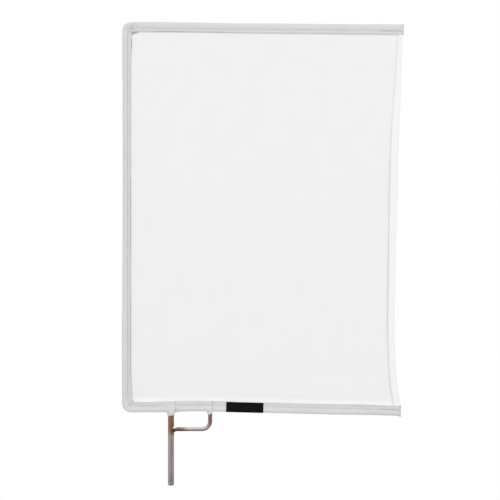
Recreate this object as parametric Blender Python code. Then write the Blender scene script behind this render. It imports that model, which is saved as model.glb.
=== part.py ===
"""Open-end silk flag for shaping light: a C of steel rod on a mounting pin, with a brace, sleeved in
white cloth on three sides and holding a panel of silk whose fourth side is hemmed and free.

The flag stands in the XZ plane. The origin is the centre of the mounting pin's lower end. +Z runs up
the pin, +X runs to the open end, and the front faces -Y. Units are metres.
"""

import math

import bmesh
import bpy
from mathutils import Euler, Vector

MM = 0.001

# Room between pieces that touch on the real flag
GAP = 0.3 * MM

# Steel rods: a quarter inch frame and brace on a three-eighths pin
FRAME_ROD = 6.35 * MM
PIN_ROD = 9.525 * MM
BRACE_ROD = 6.35 * MM
ROD_SIDES = 24

# The C frame. Height is over the rod at the closed side, arms run from the closed side's centre line
FRAME_HEIGHT = 609.6 * MM
FRAME_BEND = 9.5 * MM
BEND_STEPS = 8
TOP_ARM_LENGTH = 429.2 * MM
BOTTOM_ARM_LENGTH = 424.7 * MM
# The arms are not quite square to the pin. Angles are in degrees, and positive slopes down
TOP_ARM_DROOP = 0.57
BOTTOM_ARM_DROOP = -0.5
OUTER_ARM_DROOP = 1.42
OUTER_ARM_BEND = 60 * MM

# Mounting pin: its lower end to the bottom arm's centre line, and how far it stands from the side
PIN_REACH = 119.5 * MM
PIN_TO_SIDE = 72.2 * MM
PIN_CHAMFER = 1.2 * MM

# Brace: out from the pin, one bend, and up to the bottom arm
BRACE_HEIGHT = 88.4 * MM
BRACE_OUT = 61.3 * MM
BRACE_BEND = 12.5 * MM

# Brazed fillets: a thin rim that grows to a leg where the two rods meet
BRAZE_RIM = 0.35 * MM
BRACE_PIN_LEG = 3.6 * MM
BRACE_PIN_RUN = 4.6 * MM
BRACE_PIN_SIDE = 1.1 * MM
ARM_BRAZE_LEG = 0.9 * MM
ARM_BRAZE_RUN = 1.8 * MM
ARM_BRAZE_SIDE = 0.5 * MM
BRAZE_STEPS = 6

# Cloth sleeves: a tube of cloth round the rod, and a flange of two leaves that grips the silk
SLEEVE_WALL = 0.6 * MM
ARM_CREASE = 5.9 * MM
ARM_FLANGE = 12.4 * MM
SIDE_FLANGE = 9.9 * MM
SIDE_STUB = 1.3 * MM
CORNER_GUSSET = 3.0 * MM
SLEEVE_ARC_STEPS = 16
# Where the bottom sleeve is parted, measured from the pin and from the brace
PIN_SEAM = 7.0 * MM
BRACE_SEAM = 3.7 * MM
# The arm ends of the sleeves are pressed flat past the rod and closed with a turned end hem
FLAT_END = 5.2 * MM
END_SPREAD = 0.9 * MM
END_HEM = 2.0 * MM
END_HEM_THICKNESS = 3.0 * MM

# Cuffs: gathered cloth that covers each joint and runs a little way down the pin and the brace
PIN_CUFF_DROP = 6.4 * MM
BRACE_CUFF_DROP = 5.2 * MM
CUFF_WALL = 0.4 * MM
PIN_CUFF_FLARE = 1.3 * MM
BRACE_CUFF_FLARE = 1.3 * MM

# Silk panel and the hem on its free edge
SILK = 0.3 * MM
SILK_SETBACK = 4.4 * MM
HEM_LEAF = 0.3 * MM
HEM_WIDTH = 12.6 * MM
HEM_TOP_WIDTH = 7.4 * MM
HEM_TAPER_FROM = 0.72
HEM_TOP_INSET = 2.6 * MM
HEM_BOTTOM_INSET = 0.3 * MM
HEM_STATIONS = 36
# How far the free edge is drawn in, as (share of the way up, depth)
FREE_EDGE_SAG = (
    (0.0, 0.0),
    (0.07, 7.4 * MM),
    (0.2, 10.2 * MM),
    (0.38, 9.4 * MM),
    (0.55, 7.0 * MM),
    (0.74, 5.5 * MM),
    (0.86, 1.9 * MM),
    (1.0, 0.0),
)

# Woven label folded round the bottom sleeve, bare, measured along the arm from the pin
LABEL_WIDTH = 58.1 * MM
LABEL_FROM_PIN = 86.7 * MM
LABEL_THICKNESS = 0.4 * MM

# Sewing thread along the flanges and the hem
THREAD_WIDTH = 0.5 * MM
THREAD_HEIGHT = 0.35 * MM
THREAD_FROM_EDGE = 1.6 * MM
THREAD_END_ROOM = 1.0 * MM

SHARP_ANGLE = math.radians(35)

# Values worked out from the sizes above
ROD_RADIUS = FRAME_ROD / 2
PIN_RADIUS = PIN_ROD / 2
BRACE_RADIUS = BRACE_ROD / 2
TUBE_INSIDE = ROD_RADIUS + GAP
TUBE_OUTSIDE = TUBE_INSIDE + SLEEVE_WALL
SLIT_HALF = SILK / 2 + GAP
FLANGE_HALF = SLIT_HALF + SLEEVE_WALL
HEM_HALF = SLIT_HALF + HEM_LEAF
TOP_DROOP = math.radians(TOP_ARM_DROOP)
BOTTOM_DROOP = math.radians(BOTTOM_ARM_DROOP)
OUTER_DROOP = math.radians(OUTER_ARM_DROOP)
KINK_FROM_PIN = BRACE_OUT + BRACE_SEAM


def along(droop):
    """The direction of an arm that slopes down by droop."""
    return Vector((math.cos(droop), 0, -math.sin(droop)))


def up_from(droop):
    """The direction square to an arm that slopes down by droop, upwards."""
    return Vector((math.sin(droop), 0, math.cos(droop)))


BOTTOM_ARM = Vector((0, 0, PIN_REACH))
KINK = BOTTOM_ARM + along(BOTTOM_DROOP) * (KINK_FROM_PIN / math.cos(BOTTOM_DROOP))
BOTTOM_CORNER = BOTTOM_ARM - along(BOTTOM_DROOP) * (PIN_TO_SIDE / math.cos(BOTTOM_DROOP))
TOP_CORNER = BOTTOM_CORNER + Vector((0, 0, FRAME_HEIGHT - FRAME_ROD))
TOP_ARM = TOP_CORNER + along(TOP_DROOP) * (PIN_TO_SIDE / math.cos(TOP_DROOP))
# Rod tips, along each arm from its own empty
TOP_TIP = TOP_ARM_LENGTH - PIN_TO_SIDE
OUTER_TIP = BOTTOM_ARM_LENGTH - PIN_TO_SIDE - KINK_FROM_PIN
# The corner pieces of cloth end a little past the frame's bends
TOP_START = -PIN_TO_SIDE + FRAME_BEND * math.tan(math.radians(45) + TOP_DROOP / 2) + SIDE_STUB
BOTTOM_START = (
    -PIN_TO_SIDE + FRAME_BEND * math.tan(math.radians(45) - BOTTOM_DROOP / 2) + SIDE_STUB
)


def linear(value):
    """One channel of a colour as seen, from 0 to 255, turned into the shader's linear light."""
    value /= 255
    return value / 12.92 if value <= 0.04045 else ((value + 0.055) / 1.055) ** 2.4


def finish(name, colour, roughness, metallic):
    material = bpy.data.materials.new(name)
    material.use_nodes = True
    shader = material.node_tree.nodes["Principled BSDF"]
    shader.inputs["Base Color"].default_value = (*map(linear, colour), 1)
    shader.inputs["Roughness"].default_value = roughness
    shader.inputs["Metallic"].default_value = metallic
    return material


def silk_finish(name):
    return finish(f"{name}_silk", (240, 240, 240), 0.6, 0)


def sleeve_finish(name):
    return finish(f"{name}_cloth", (216, 216, 216), 0.85, 0)


def steel_finish(name):
    return finish(f"{name}_steel", (160, 150, 152), 0.35, 1)


def braze_finish(name):
    return finish(f"{name}_bronze", (150, 112, 92), 0.4, 1)


def thread_finish(name):
    return finish(f"{name}_thread", (226, 226, 226), 0.7, 0)


def label_finish(name):
    return finish(f"{name}_weave", (18, 18, 20), 0.7, 0)


def clear_scene():
    for obj in list(bpy.data.objects):
        bpy.data.objects.remove(obj, do_unlink=True)


def empty(name, location, droop=0.0):
    """A place that pieces hang from: its X runs along an arm that slopes down by droop."""
    obj = bpy.data.objects.new(name, None)
    obj.location = location
    obj.rotation_euler = Euler((0, droop, 0))
    bpy.context.scene.collection.objects.link(obj)
    return obj


def solid(name, bm, material, parent=None, location=(0, 0, 0), rotation=(0, 0, 0)):
    """An object made from bm, shaded smooth where its faces meet gently."""
    bmesh.ops.recalc_face_normals(bm, faces=bm.faces)
    mesh = bpy.data.meshes.new(name)
    bm.to_mesh(mesh)
    bm.free()
    mesh.shade_smooth()
    mesh.set_sharp_from_angle(angle=SHARP_ANGLE)
    if material:
        mesh.materials.append(material)
    obj = bpy.data.objects.new(name, mesh)
    obj.parent = parent
    obj.location = location
    obj.rotation_euler = Euler(rotation)
    bpy.context.scene.collection.objects.link(obj)
    return obj


def helper(name, bm, parent=None, location=(0, 0, 0), rotation=(0, 0, 0)):
    """A shape that only cuts or joins another, and is no piece of the flag."""
    obj = solid(name, bm, None, parent, location, rotation)
    obj.hide_render = True
    obj.display_type = "WIRE"
    return obj


def combine(obj, operation, *others):
    for other in others:
        modifier = obj.modifiers.new(f"{operation.lower()}_{other.name}", "BOOLEAN")
        modifier.operation = operation
        modifier.object = other


def circle(radius):
    """Points round a circle in the YZ plane."""
    angles = [2 * math.pi * i / ROD_SIDES for i in range(ROD_SIDES)]
    return [(radius * math.cos(a), radius * math.sin(a)) for a in angles]


def rectangle(low_y, high_y, low_z, high_z):
    return [(low_y, low_z), (high_y, low_z), (high_y, high_z), (low_y, high_z)]


def extruded(section, stations):
    """A closed section in the YZ plane, carried along X from station to station."""
    bm = bmesh.new()
    start = bm.faces.new([bm.verts.new((stations[0], y, z)) for y, z in section])
    ring = list(start.edges)
    for before, after in zip(stations, stations[1:]):
        grown = bmesh.ops.extrude_edge_only(bm, edges=ring)["geom"]
        fresh = {v for v in grown if isinstance(v, bmesh.types.BMVert)}
        bmesh.ops.translate(bm, verts=list(fresh), vec=(after - before, 0, 0))
        ring = [e for e in bm.edges if fresh.issuperset(e.verts)]
    bmesh.ops.edgeloop_fill(bm, edges=ring)
    return bm


def turned(profile):
    """A solid turned about Z from a profile of (radius, height) points that starts and ends on Z."""
    bm = bmesh.new()
    points = [bm.verts.new((radius, 0, height)) for radius, height in profile]
    edges = [bm.edges.new(pair) for pair in zip(points, points[1:])]
    bmesh.ops.spin(
        bm,
        geom=points + edges,
        cent=(0, 0, 0),
        axis=(0, 0, 1),
        angle=2 * math.pi,
        steps=ROD_SIDES,
        use_merge=True,
    )
    bmesh.ops.remove_doubles(bm, verts=bm.verts, dist=0.001 * MM)
    on_axis = [v for v in bm.verts if math.hypot(v.co.x, v.co.y) < 0.001 * MM]
    bmesh.ops.dissolve_verts(bm, verts=on_axis)
    return bm


def cylinder(radius, low, high):
    return turned([(0, low), (radius, low), (radius, high), (0, high)])


def plate(outline, half_thickness):
    """A flat plate in the XZ plane with an outline of (x, z) points."""
    bm = bmesh.new()
    face = bm.faces.new([bm.verts.new((x, -half_thickness, z)) for x, z in outline])
    grown = bmesh.ops.extrude_face_region(bm, geom=[face])["geom"]
    moved = [v for v in grown if isinstance(v, bmesh.types.BMVert)]
    bmesh.ops.translate(bm, verts=moved, vec=(0, 2 * half_thickness, 0))
    return bm


def bent_bar(radius, start, heading, runs):
    """A round bar in the XZ plane: each run is a straight length, then a bend of a radius through an
    angle. Headings and angles turn anticlockwise as seen from the front."""
    bm = bmesh.new()
    point = start.copy()
    ahead = Vector((math.cos(heading), 0, math.sin(heading)))
    place = ahead.to_track_quat("Z", "Y").to_matrix().to_4x4()
    place.translation = point
    bmesh.ops.create_circle(bm, cap_ends=True, radius=radius, segments=ROD_SIDES, matrix=place)
    ring = list(bm.edges)
    for length, bend_radius, angle in runs:
        grown = bmesh.ops.extrude_edge_only(bm, edges=ring)["geom"]
        fresh = {v for v in grown if isinstance(v, bmesh.types.BMVert)}
        bmesh.ops.translate(bm, verts=list(fresh), vec=ahead * length)
        point += ahead * length
        ring = [e for e in bm.edges if fresh.issuperset(e.verts)]
        if not angle:
            continue
        inner = Vector((-ahead.z, 0, ahead.x)) * math.copysign(1, angle)
        centre = point + inner * bend_radius
        steps = max(2, round(BEND_STEPS * abs(angle) / (math.pi / 2)))
        spun = bmesh.ops.spin(
            bm, geom=ring, cent=centre, axis=(0, -1, 0), angle=angle, steps=steps
        )
        ring = [e for e in spun["geom_last"] if isinstance(e, bmesh.types.BMEdge)]
        turn = Euler((0, -angle, 0)).to_matrix()
        ahead = turn @ ahead
        point = centre + turn @ (point - centre)
    bmesh.ops.edgeloop_fill(bm, edges=ring)
    return bm


def bend_room(angle, bend_radius):
    """How much of a straight run a bend takes up at its end."""
    return bend_radius * math.tan(abs(angle) / 2)


def frame_bar(radius, top_run, bottom_runs):
    """A bar on the frame's own line, from top_run along the top arm and round both corners."""
    top_turn = math.pi / 2 + TOP_DROOP
    bottom_turn = math.pi / 2 - BOTTOM_DROOP
    top_room = bend_room(top_turn, FRAME_BEND)
    bottom_room = bend_room(bottom_turn, FRAME_BEND)
    start = TOP_CORNER + along(TOP_DROOP) * (top_run + top_room)
    side = FRAME_HEIGHT - FRAME_ROD - top_room - bottom_room
    runs = [(top_run, FRAME_BEND, top_turn), (side, FRAME_BEND, bottom_turn), *bottom_runs]
    return bent_bar(radius, start, math.pi - TOP_DROOP, runs)


def meeting(first, first_way, second, second_way):
    """Where two lines in the XZ plane cross."""
    apart = second - first
    across = first_way.x * second_way.z - first_way.z * second_way.x
    reach = (apart.x * second_way.z - apart.z * second_way.x) / across
    return first + first_way * reach


def corner_arc(centre, radius, first, last):
    """Points round one corner of an outline, between two angles in the XZ plane."""
    angles = [first + (last - first) * i / BEND_STEPS for i in range(BEND_STEPS + 1)]
    return [(centre.x + radius * math.cos(a), centre.z + radius * math.sin(a)) for a in angles]


def inside_line(inset):
    """(top arm, side, bottom arm, outer arm) as (point, direction), moved in from the rod's centre."""
    down = Vector((0, 0, -1))
    return (
        (TOP_ARM - up_from(TOP_DROOP) * inset, along(TOP_DROOP)),
        (BOTTOM_CORNER + Vector((inset, 0, 0)), down),
        (BOTTOM_ARM + up_from(BOTTOM_DROOP) * inset, along(BOTTOM_DROOP)),
        (KINK + up_from(OUTER_DROOP) * inset, along(OUTER_DROOP)),
    )


def rounded_corners(inset):
    """The two rounded corners of an outline that lies inset inside the rod's centre line."""
    top, side, bottom, _ = inside_line(FRAME_BEND)
    radius = FRAME_BEND - inset
    over = corner_arc(meeting(*top, *side), radius, math.pi / 2 - TOP_DROOP, math.pi)
    under = corner_arc(
        meeting(*side, *bottom), radius, math.pi, math.pi * 3 / 2 - BOTTOM_DROOP
    )
    return over + under


def height_on(line, x):
    """The height of a line at x."""
    point, way = line
    return point.z + way.z * (x - point.x) / way.x


def c_section(tube, crease, half, inner_tube, inner_crease, inner_half, reach, outward):
    """A sleeve's section across an arm: two leaves that part into a tube round the rod. outward is 1
    where the tube lies above its flange, and -1 where it lies below."""

    def skin(radius, fold, leaf):
        lean = math.atan2(leaf, -fold) - math.acos(radius / math.hypot(fold, leaf))
        angles = [lean * (1 - 2 * i / SLEEVE_ARC_STEPS) for i in range(SLEEVE_ARC_STEPS + 1)]
        arc = [(radius * math.sin(a), radius * math.cos(a)) for a in angles]
        return [(leaf, -reach), (leaf, -fold), *arc, (-leaf, -fold), (-leaf, -reach)]

    outside = skin(tube, crease, half)
    inside = skin(inner_tube, inner_crease, inner_half)
    return [(y, outward * z) for y, z in outside + inside[::-1]]


def sleeve_section(outward):
    return c_section(
        TUBE_OUTSIDE,
        ARM_CREASE,
        FLANGE_HALF,
        TUBE_INSIDE,
        ARM_CREASE - SLEEVE_WALL / 2,
        SLIT_HALF,
        ARM_FLANGE,
        outward,
    )


def press_end_flat(bm, end, outward):
    """Presses the last section of a sleeve flat, as cloth is past the end of its rod."""
    for vert in bm.verts:
        if abs(vert.co.x - end) > GAP / 2:
            continue
        height = vert.co.z * outward
        if height > -ARM_CREASE:
            spread = (height + ARM_CREASE) / (TUBE_OUTSIDE + ARM_CREASE)
            wall = math.hypot(vert.co.y, height) > (TUBE_INSIDE + TUBE_OUTSIDE) / 2
            half = FLANGE_HALF if wall else SLIT_HALF
            vert.co.y = max(-half, min(half, vert.co.y))
            vert.co.z += outward * END_SPREAD * spread


def arm_sleeve(name, arm, outward, start, end, flat_end=False):
    stations = [start, end - FLAT_END, end] if flat_end else [start, end]
    bm = extruded(sleeve_section(outward), stations)
    if flat_end:
        press_end_flat(bm, end, outward)
    return solid(name, bm, sleeve_finish(name), arm)


def end_hem(name, arm, outward, start):
    """The turned and sewn end of a sleeve, slit where the silk's corner runs in."""
    low, high = sorted((outward * -ARM_FLANGE, outward * (TUBE_OUTSIDE + END_SPREAD)))
    half = END_HEM_THICKNESS / 2
    bar = extruded(rectangle(-half, half, low, high), [start, start + END_HEM])
    hem = solid(name, bar, sleeve_finish(name), arm)
    mouth = sorted((outward * -(ARM_FLANGE + GAP), outward * -(SILK_SETBACK - GAP)))
    slit = extruded(
        rectangle(-SLIT_HALF, SLIT_HALF, *mouth), [start - GAP, start + END_HEM + GAP]
    )
    combine(hem, "DIFFERENCE", helper(f"{name}_slit", slit, arm))
    return hem


def side_sleeve():
    """The closed side's sleeve, which turns both corners and takes up the slack in a gusset there."""
    name = "side_sleeve"
    tube = frame_bar(TUBE_OUTSIDE, SIDE_STUB, [(SIDE_STUB, 0, 0)])
    sleeve = solid(name, tube, sleeve_finish(name))
    top, side, bottom, _ = inside_line(ARM_FLANGE)
    inner_x = BOTTOM_CORNER.x + SIDE_FLANGE
    top_end = TOP_ARM + along(TOP_DROOP) * TOP_START
    bottom_end = BOTTOM_ARM + along(BOTTOM_DROOP) * BOTTOM_START
    top_edge = top_end - up_from(TOP_DROOP) * ARM_FLANGE
    bottom_edge = bottom_end + up_from(BOTTOM_DROOP) * ARM_FLANGE
    outline = [
        (top_end.x, top_end.z),
        *rounded_corners(0),
        (bottom_end.x, bottom_end.z),
        (bottom_edge.x, bottom_edge.z),
        (inner_x, height_on(bottom, inner_x) + CORNER_GUSSET),
        (inner_x, height_on(top, inner_x) - CORNER_GUSSET),
        (top_edge.x, top_edge.z),
    ]
    flange = helper("side_flange", plate(outline, FLANGE_HALF))
    bore = helper("side_bore", frame_bar(TUBE_INSIDE, SIDE_STUB + GAP, [(SIDE_STUB + GAP, 0, 0)]))
    deep = TUBE_INSIDE - GAP
    far = inner_x + 2 * ARM_FLANGE
    edges = inside_line(deep)
    slit_outline = [
        (far, height_on(edges[0], far)),
        *rounded_corners(deep),
        (far, height_on(edges[2], far)),
    ]
    slit = helper("side_slit", plate(slit_outline, SLIT_HALF))
    combine(sleeve, "UNION", flange)
    combine(sleeve, "DIFFERENCE", bore, slit)
    return sleeve


def frame_rod():
    name = "frame_rod"
    turn = OUTER_DROOP - BOTTOM_DROOP
    corner_room = bend_room(math.pi / 2 - BOTTOM_DROOP, FRAME_BEND)
    kink_room = bend_room(turn, OUTER_ARM_BEND)
    to_kink = (PIN_TO_SIDE + KINK_FROM_PIN) / math.cos(BOTTOM_DROOP) - corner_room - kink_room
    runs = [(to_kink, OUTER_ARM_BEND, -turn), (OUTER_TIP - kink_room, 0, 0)]
    top_room = bend_room(math.pi / 2 + TOP_DROOP, FRAME_BEND)
    bm = frame_bar(ROD_RADIUS, TOP_ARM_LENGTH - top_room, runs)
    return solid(name, bm, steel_finish(name))


def mounting_pin():
    name = "mounting_pin"
    top = PIN_REACH - ROD_RADIUS - GAP
    shoulder = PIN_RADIUS - PIN_CHAMFER
    bm = turned([(0, 0), (shoulder, 0), (PIN_RADIUS, PIN_CHAMFER), (PIN_RADIUS, top), (0, top)])
    return solid(name, bm, steel_finish(name))


def arm_clearance(name, radius, at):
    """A cutter round the bottom arm's rod, centred along the arm at a distance from the pin."""
    length = 4 * PIN_ROD
    bm = extruded(circle(radius), [at - length, at + length])
    droop = BOTTOM_DROOP
    return helper(name, bm, None, BOTTOM_ARM, (0, droop, 0))


def brace_rod():
    """The brace, its foot coped to the pin and its head coped to the bottom arm."""
    name = "brace_rod"
    rise = height_on((BOTTOM_ARM, along(BOTTOM_DROOP)), BRACE_OUT) - BRACE_HEIGHT
    runs = [(BRACE_OUT - BRACE_BEND, BRACE_BEND, math.pi / 2), (rise - BRACE_BEND, 0, 0)]
    bm = bent_bar(BRACE_RADIUS, Vector((0, 0, BRACE_HEIGHT)), 0.0, runs)
    brace = solid(name, bm, steel_finish(name))
    pin_room = helper("brace_foot_cope", cylinder(PIN_RADIUS + GAP, 0, PIN_REACH))
    combine(brace, "DIFFERENCE", pin_room, arm_clearance("brace_head_cope", TUBE_INSIDE, BRACE_OUT))
    return brace


def braze_solid(bar_radius, run, leg, side, past):
    """A concave fillet round a bar along Z. It grows from its rim at zero to its leg at run, and goes
    on past that for the other rod to be cut from. side is how much it stands out in Y."""
    inner = bar_radius + GAP
    profile = [(0, 0)]
    for i in range(BRAZE_STEPS + 1):
        share = i / BRAZE_STEPS
        swell = 1 - math.sqrt(1 - share * share)
        profile.append((inner + BRAZE_RIM + (leg - BRAZE_RIM) * swell, run * share))
    profile += [(inner + leg, run + past), (0, run + past)]
    bm = turned(profile)
    for vert in bm.verts:
        height = min(1, vert.co.z / run)
        widest = inner + BRAZE_RIM + (side - BRAZE_RIM) * height
        vert.co.y = max(-widest, min(widest, vert.co.y))
    return bm


def brazes():
    """The three brazed joints: brace to pin, pin to arm and brace to arm."""
    name = "brace_to_pin_braze"
    bm = braze_solid(BRACE_RADIUS, BRACE_PIN_RUN, BRACE_PIN_LEG, BRACE_PIN_SIDE, PIN_RADIUS)
    face = PIN_RADIUS + GAP + BRACE_PIN_RUN
    turn = (0, -math.pi / 2, 0)
    foot = solid(name, bm, braze_finish(name), None, (face, 0, BRACE_HEIGHT), turn)
    bar = extruded(circle(BRACE_RADIUS + GAP), [0, 2 * face])
    bar_room = helper("brace_braze_bore", bar, None, (0, 0, BRACE_HEIGHT))
    pin_room = helper("pin_braze_cope", cylinder(PIN_RADIUS + GAP, 0, PIN_REACH))
    combine(foot, "DIFFERENCE", bar_room, pin_room)
    joints = (("pin_to_arm_braze", 0.0, PIN_RADIUS), ("brace_to_arm_braze", BRACE_OUT, BRACE_RADIUS))
    for name, at, radius in joints:
        axis = height_on((BOTTOM_ARM, along(BOTTOM_DROOP)), at)
        low = axis - TUBE_INSIDE - ARM_BRAZE_RUN
        bm = braze_solid(radius, ARM_BRAZE_RUN, ARM_BRAZE_LEG, ARM_BRAZE_SIDE, ROD_RADIUS / 2)
        joint = solid(name, bm, braze_finish(name), None, (at, 0, low))
        bore = helper(f"{name}_bore", cylinder(radius + GAP, low - GAP, axis), None, (at, 0, 0))
        combine(joint, "DIFFERENCE", bore, arm_clearance(f"{name}_cope", TUBE_INSIDE, at))


def cuff(name, at, radius, drop, flare):
    """Gathered cloth round a joint: it grips the bar below and opens into the sleeve above. Returns a
    cutter of its outside with room round it, for the sleeves' windows."""
    axis = height_on((BOTTOM_ARM, along(BOTTOM_DROOP)), at)
    under = axis - TUBE_OUTSIDE
    grip = radius + GAP + CUFF_WALL
    braze = radius + GAP + ARM_BRAZE_LEG
    mouth = max(grip + flare, braze + GAP + CUFF_WALL)
    mid = under - drop / 2
    profile = [
        (0, under - drop),
        (grip, under - drop),
        (grip + flare / 5, mid),
        (mouth - flare / 6, under),
        (mouth, (under + axis) / 2),
        (mouth, axis),
        (0, axis),
    ]
    cloth = solid(name, turned(profile), sleeve_finish(name), None, (at, 0, 0))
    bar_room = helper(f"{name}_bore", cylinder(radius + GAP, 0, axis), None, (at, 0, 0))
    braze_low = axis - TUBE_INSIDE - ARM_BRAZE_RUN - GAP
    hollow = [
        (0, braze_low),
        (radius + GAP + BRAZE_RIM + GAP, braze_low),
        (braze + GAP, axis - TUBE_INSIDE),
        (braze + GAP, axis + GAP),
        (0, axis + GAP),
    ]
    braze_room = helper(f"{name}_hollow", turned(hollow), None, (at, 0, 0))
    arm_room = arm_clearance(f"{name}_cope", TUBE_INSIDE, at)
    combine(cloth, "DIFFERENCE", bar_room, braze_room, arm_room)
    window = cylinder(mouth + GAP, under - drop, axis + GAP)
    return helper(f"{name}_window", window, None, (at, 0, 0))


def free_edge(share):
    """(sag, hem width) at a share of the way up the free edge, on a curve through FREE_EDGE_SAG."""
    points = FREE_EDGE_SAG
    last = len(points) - 1
    i = max(k for k in range(last) if points[k][0] <= max(share, 0))
    before, start = points[max(i - 1, 0)], points[i]
    end, after = points[i + 1], points[min(i + 2, last)]
    span = end[0] - start[0]
    t = min(max((share - start[0]) / span, 0), 1)
    first = (end[1] - before[1]) / (end[0] - before[0]) * span
    second = (after[1] - start[1]) / (after[0] - start[0]) * span
    sag = (
        (2 * t**3 - 3 * t**2 + 1) * start[1]
        + (t**3 - 2 * t**2 + t) * first
        + (3 * t**2 - 2 * t**3) * end[1]
        + (t**3 - t**2) * second
    )
    taper = max(0, (share - HEM_TAPER_FROM) / (1 - HEM_TAPER_FROM))
    return sag, HEM_WIDTH + (HEM_TOP_WIDTH - HEM_WIDTH) * taper


def sleeve_ends():
    """How far the cloth reaches along the top arm and along the outer arm, end hems included."""
    past = GAP + FLAT_END + GAP + END_HEM
    return TOP_TIP + past, OUTER_TIP + past


def open_end_point(share, inward):
    """A point (x, z) inward from the free edge, at a share of the way up between the two flanges."""
    top_reach, outer_reach = sleeve_ends()
    high_x = (TOP_ARM + along(TOP_DROOP) * top_reach).x - HEM_TOP_INSET
    low_x = (KINK + along(OUTER_DROOP) * outer_reach).x - HEM_BOTTOM_INSET
    sag, _ = free_edge(share)
    x = low_x + (high_x - low_x) * share - sag - inward
    top, _, _, outer = inside_line(ARM_FLANGE + GAP)
    low, high = height_on(outer, x), height_on(top, x)
    return x, low + (high - low) * share


def silk_panel():
    """One flat piece of silk, its edges in the sleeves' slits and its fourth edge in the hem."""
    name = "silk_panel"
    shares = [i / HEM_STATIONS for i in range(HEM_STATIONS + 1)]
    edge = [open_end_point(share, HEM_LEAF + GAP) for share in shares]
    top, _, bottom, outer = inside_line(SILK_SETBACK)
    kink = meeting(*bottom, *outer)
    low_x, high_x = edge[0][0], edge[-1][0]
    outline = [
        *rounded_corners(SILK_SETBACK),
        (kink.x, kink.z),
        (low_x, height_on(outer, low_x)),
        *edge,
        (high_x, height_on(top, high_x)),
    ]
    return solid(name, plate(outline, SILK / 2), silk_finish(name))


def hem_band(section, width_of):
    """A band along the free edge: the section's Z is how far inward a point lies, and width_of turns
    that into the width at a share of the way up."""
    bm = extruded(section, [i / HEM_STATIONS for i in range(HEM_STATIONS + 1)])
    for vert in bm.verts:
        share, y, inward = vert.co
        x, z = open_end_point(share, width_of(inward, share))
        vert.co = (x, y, z)
    return bm


def free_edge_hem():
    """The silk's free edge folded over into a hem: two leaves and a fold, open towards the panel."""
    name = "free_edge_hem"
    section = [
        (-HEM_HALF, 0),
        (HEM_HALF, 0),
        (HEM_HALF, HEM_WIDTH),
        (SLIT_HALF, HEM_WIDTH),
        (SLIT_HALF, HEM_LEAF),
        (-SLIT_HALF, HEM_LEAF),
        (-SLIT_HALF, HEM_WIDTH),
        (-HEM_HALF, HEM_WIDTH),
    ]

    def width_of(inward, share):
        return inward if inward < HEM_WIDTH / 2 else free_edge(share)[1]

    return solid(name, hem_band(section, width_of), silk_finish(name))


def front_thread(half, low, high):
    """A thread's section on a front leaf that stands half from the middle."""
    near = -half - GAP
    return rectangle(near - THREAD_HEIGHT, near, low, high)


def hem_thread():
    name = "hem_thread"
    section = front_thread(HEM_HALF, 0, THREAD_WIDTH)

    def width_of(inward, share):
        return free_edge(share)[1] - THREAD_FROM_EDGE + inward

    return solid(name, hem_band(section, width_of), thread_finish(name))


def arm_thread(name, arm, outward, start, end):
    edge = ARM_FLANGE - THREAD_FROM_EDGE
    low, high = sorted((outward * -edge, outward * -(edge - THREAD_WIDTH)))
    bm = extruded(front_thread(FLANGE_HALF, low, high), [start, end])
    return solid(name, bm, thread_finish(name), arm)


def side_thread():
    name = "side_seam_thread"
    x = BOTTOM_CORNER.x + SIDE_FLANGE - THREAD_FROM_EDGE
    low = BOTTOM_CORNER.z + ARM_FLANGE
    high = TOP_CORNER.z - ARM_FLANGE
    outline = [(x, low), (x + THREAD_WIDTH, low), (x + THREAD_WIDTH, high), (x, high)]
    bm = plate(outline, THREAD_HEIGHT / 2)
    y = -(FLANGE_HALF + GAP + THREAD_HEIGHT / 2)
    return solid(name, bm, thread_finish(name), None, (0, y, 0))


def sewn_label(arm):
    """A bare woven label folded round the sleeve and sewn to both leaves of its flange."""
    name = "sewn_label"
    near = GAP
    far = GAP + LABEL_THICKNESS
    section = c_section(
        TUBE_OUTSIDE + far,
        ARM_CREASE,
        FLANGE_HALF + far,
        TUBE_OUTSIDE + near,
        ARM_CREASE,
        FLANGE_HALF + near,
        ARM_FLANGE,
        -1,
    )
    start = LABEL_FROM_PIN - KINK_FROM_PIN
    bm = extruded(section, [start, start + LABEL_WIDTH])
    return solid(name, bm, label_finish(name), arm)


def bottom_sleeves(bottom_arm, outer_arm, windows):
    """Three lengths of sleeve, parted where the pin and the brace come out between them."""
    outer_end = OUTER_TIP + GAP + FLAT_END
    middle_end = KINK_FROM_PIN / math.cos(BOTTOM_DROOP) - GAP / 2
    inner = arm_sleeve("bottom_sleeve_inner", bottom_arm, -1, BOTTOM_START + GAP, PIN_SEAM)
    middle = arm_sleeve("bottom_sleeve_middle", bottom_arm, -1, PIN_SEAM + GAP, middle_end)
    outer = arm_sleeve("bottom_sleeve_outer", outer_arm, -1, GAP, outer_end, flat_end=True)
    combine(inner, "DIFFERENCE", windows[0])
    combine(middle, "DIFFERENCE", *windows)
    combine(outer, "DIFFERENCE", windows[1])
    end_hem("bottom_end_hem", outer_arm, -1, outer_end + GAP)


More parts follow.
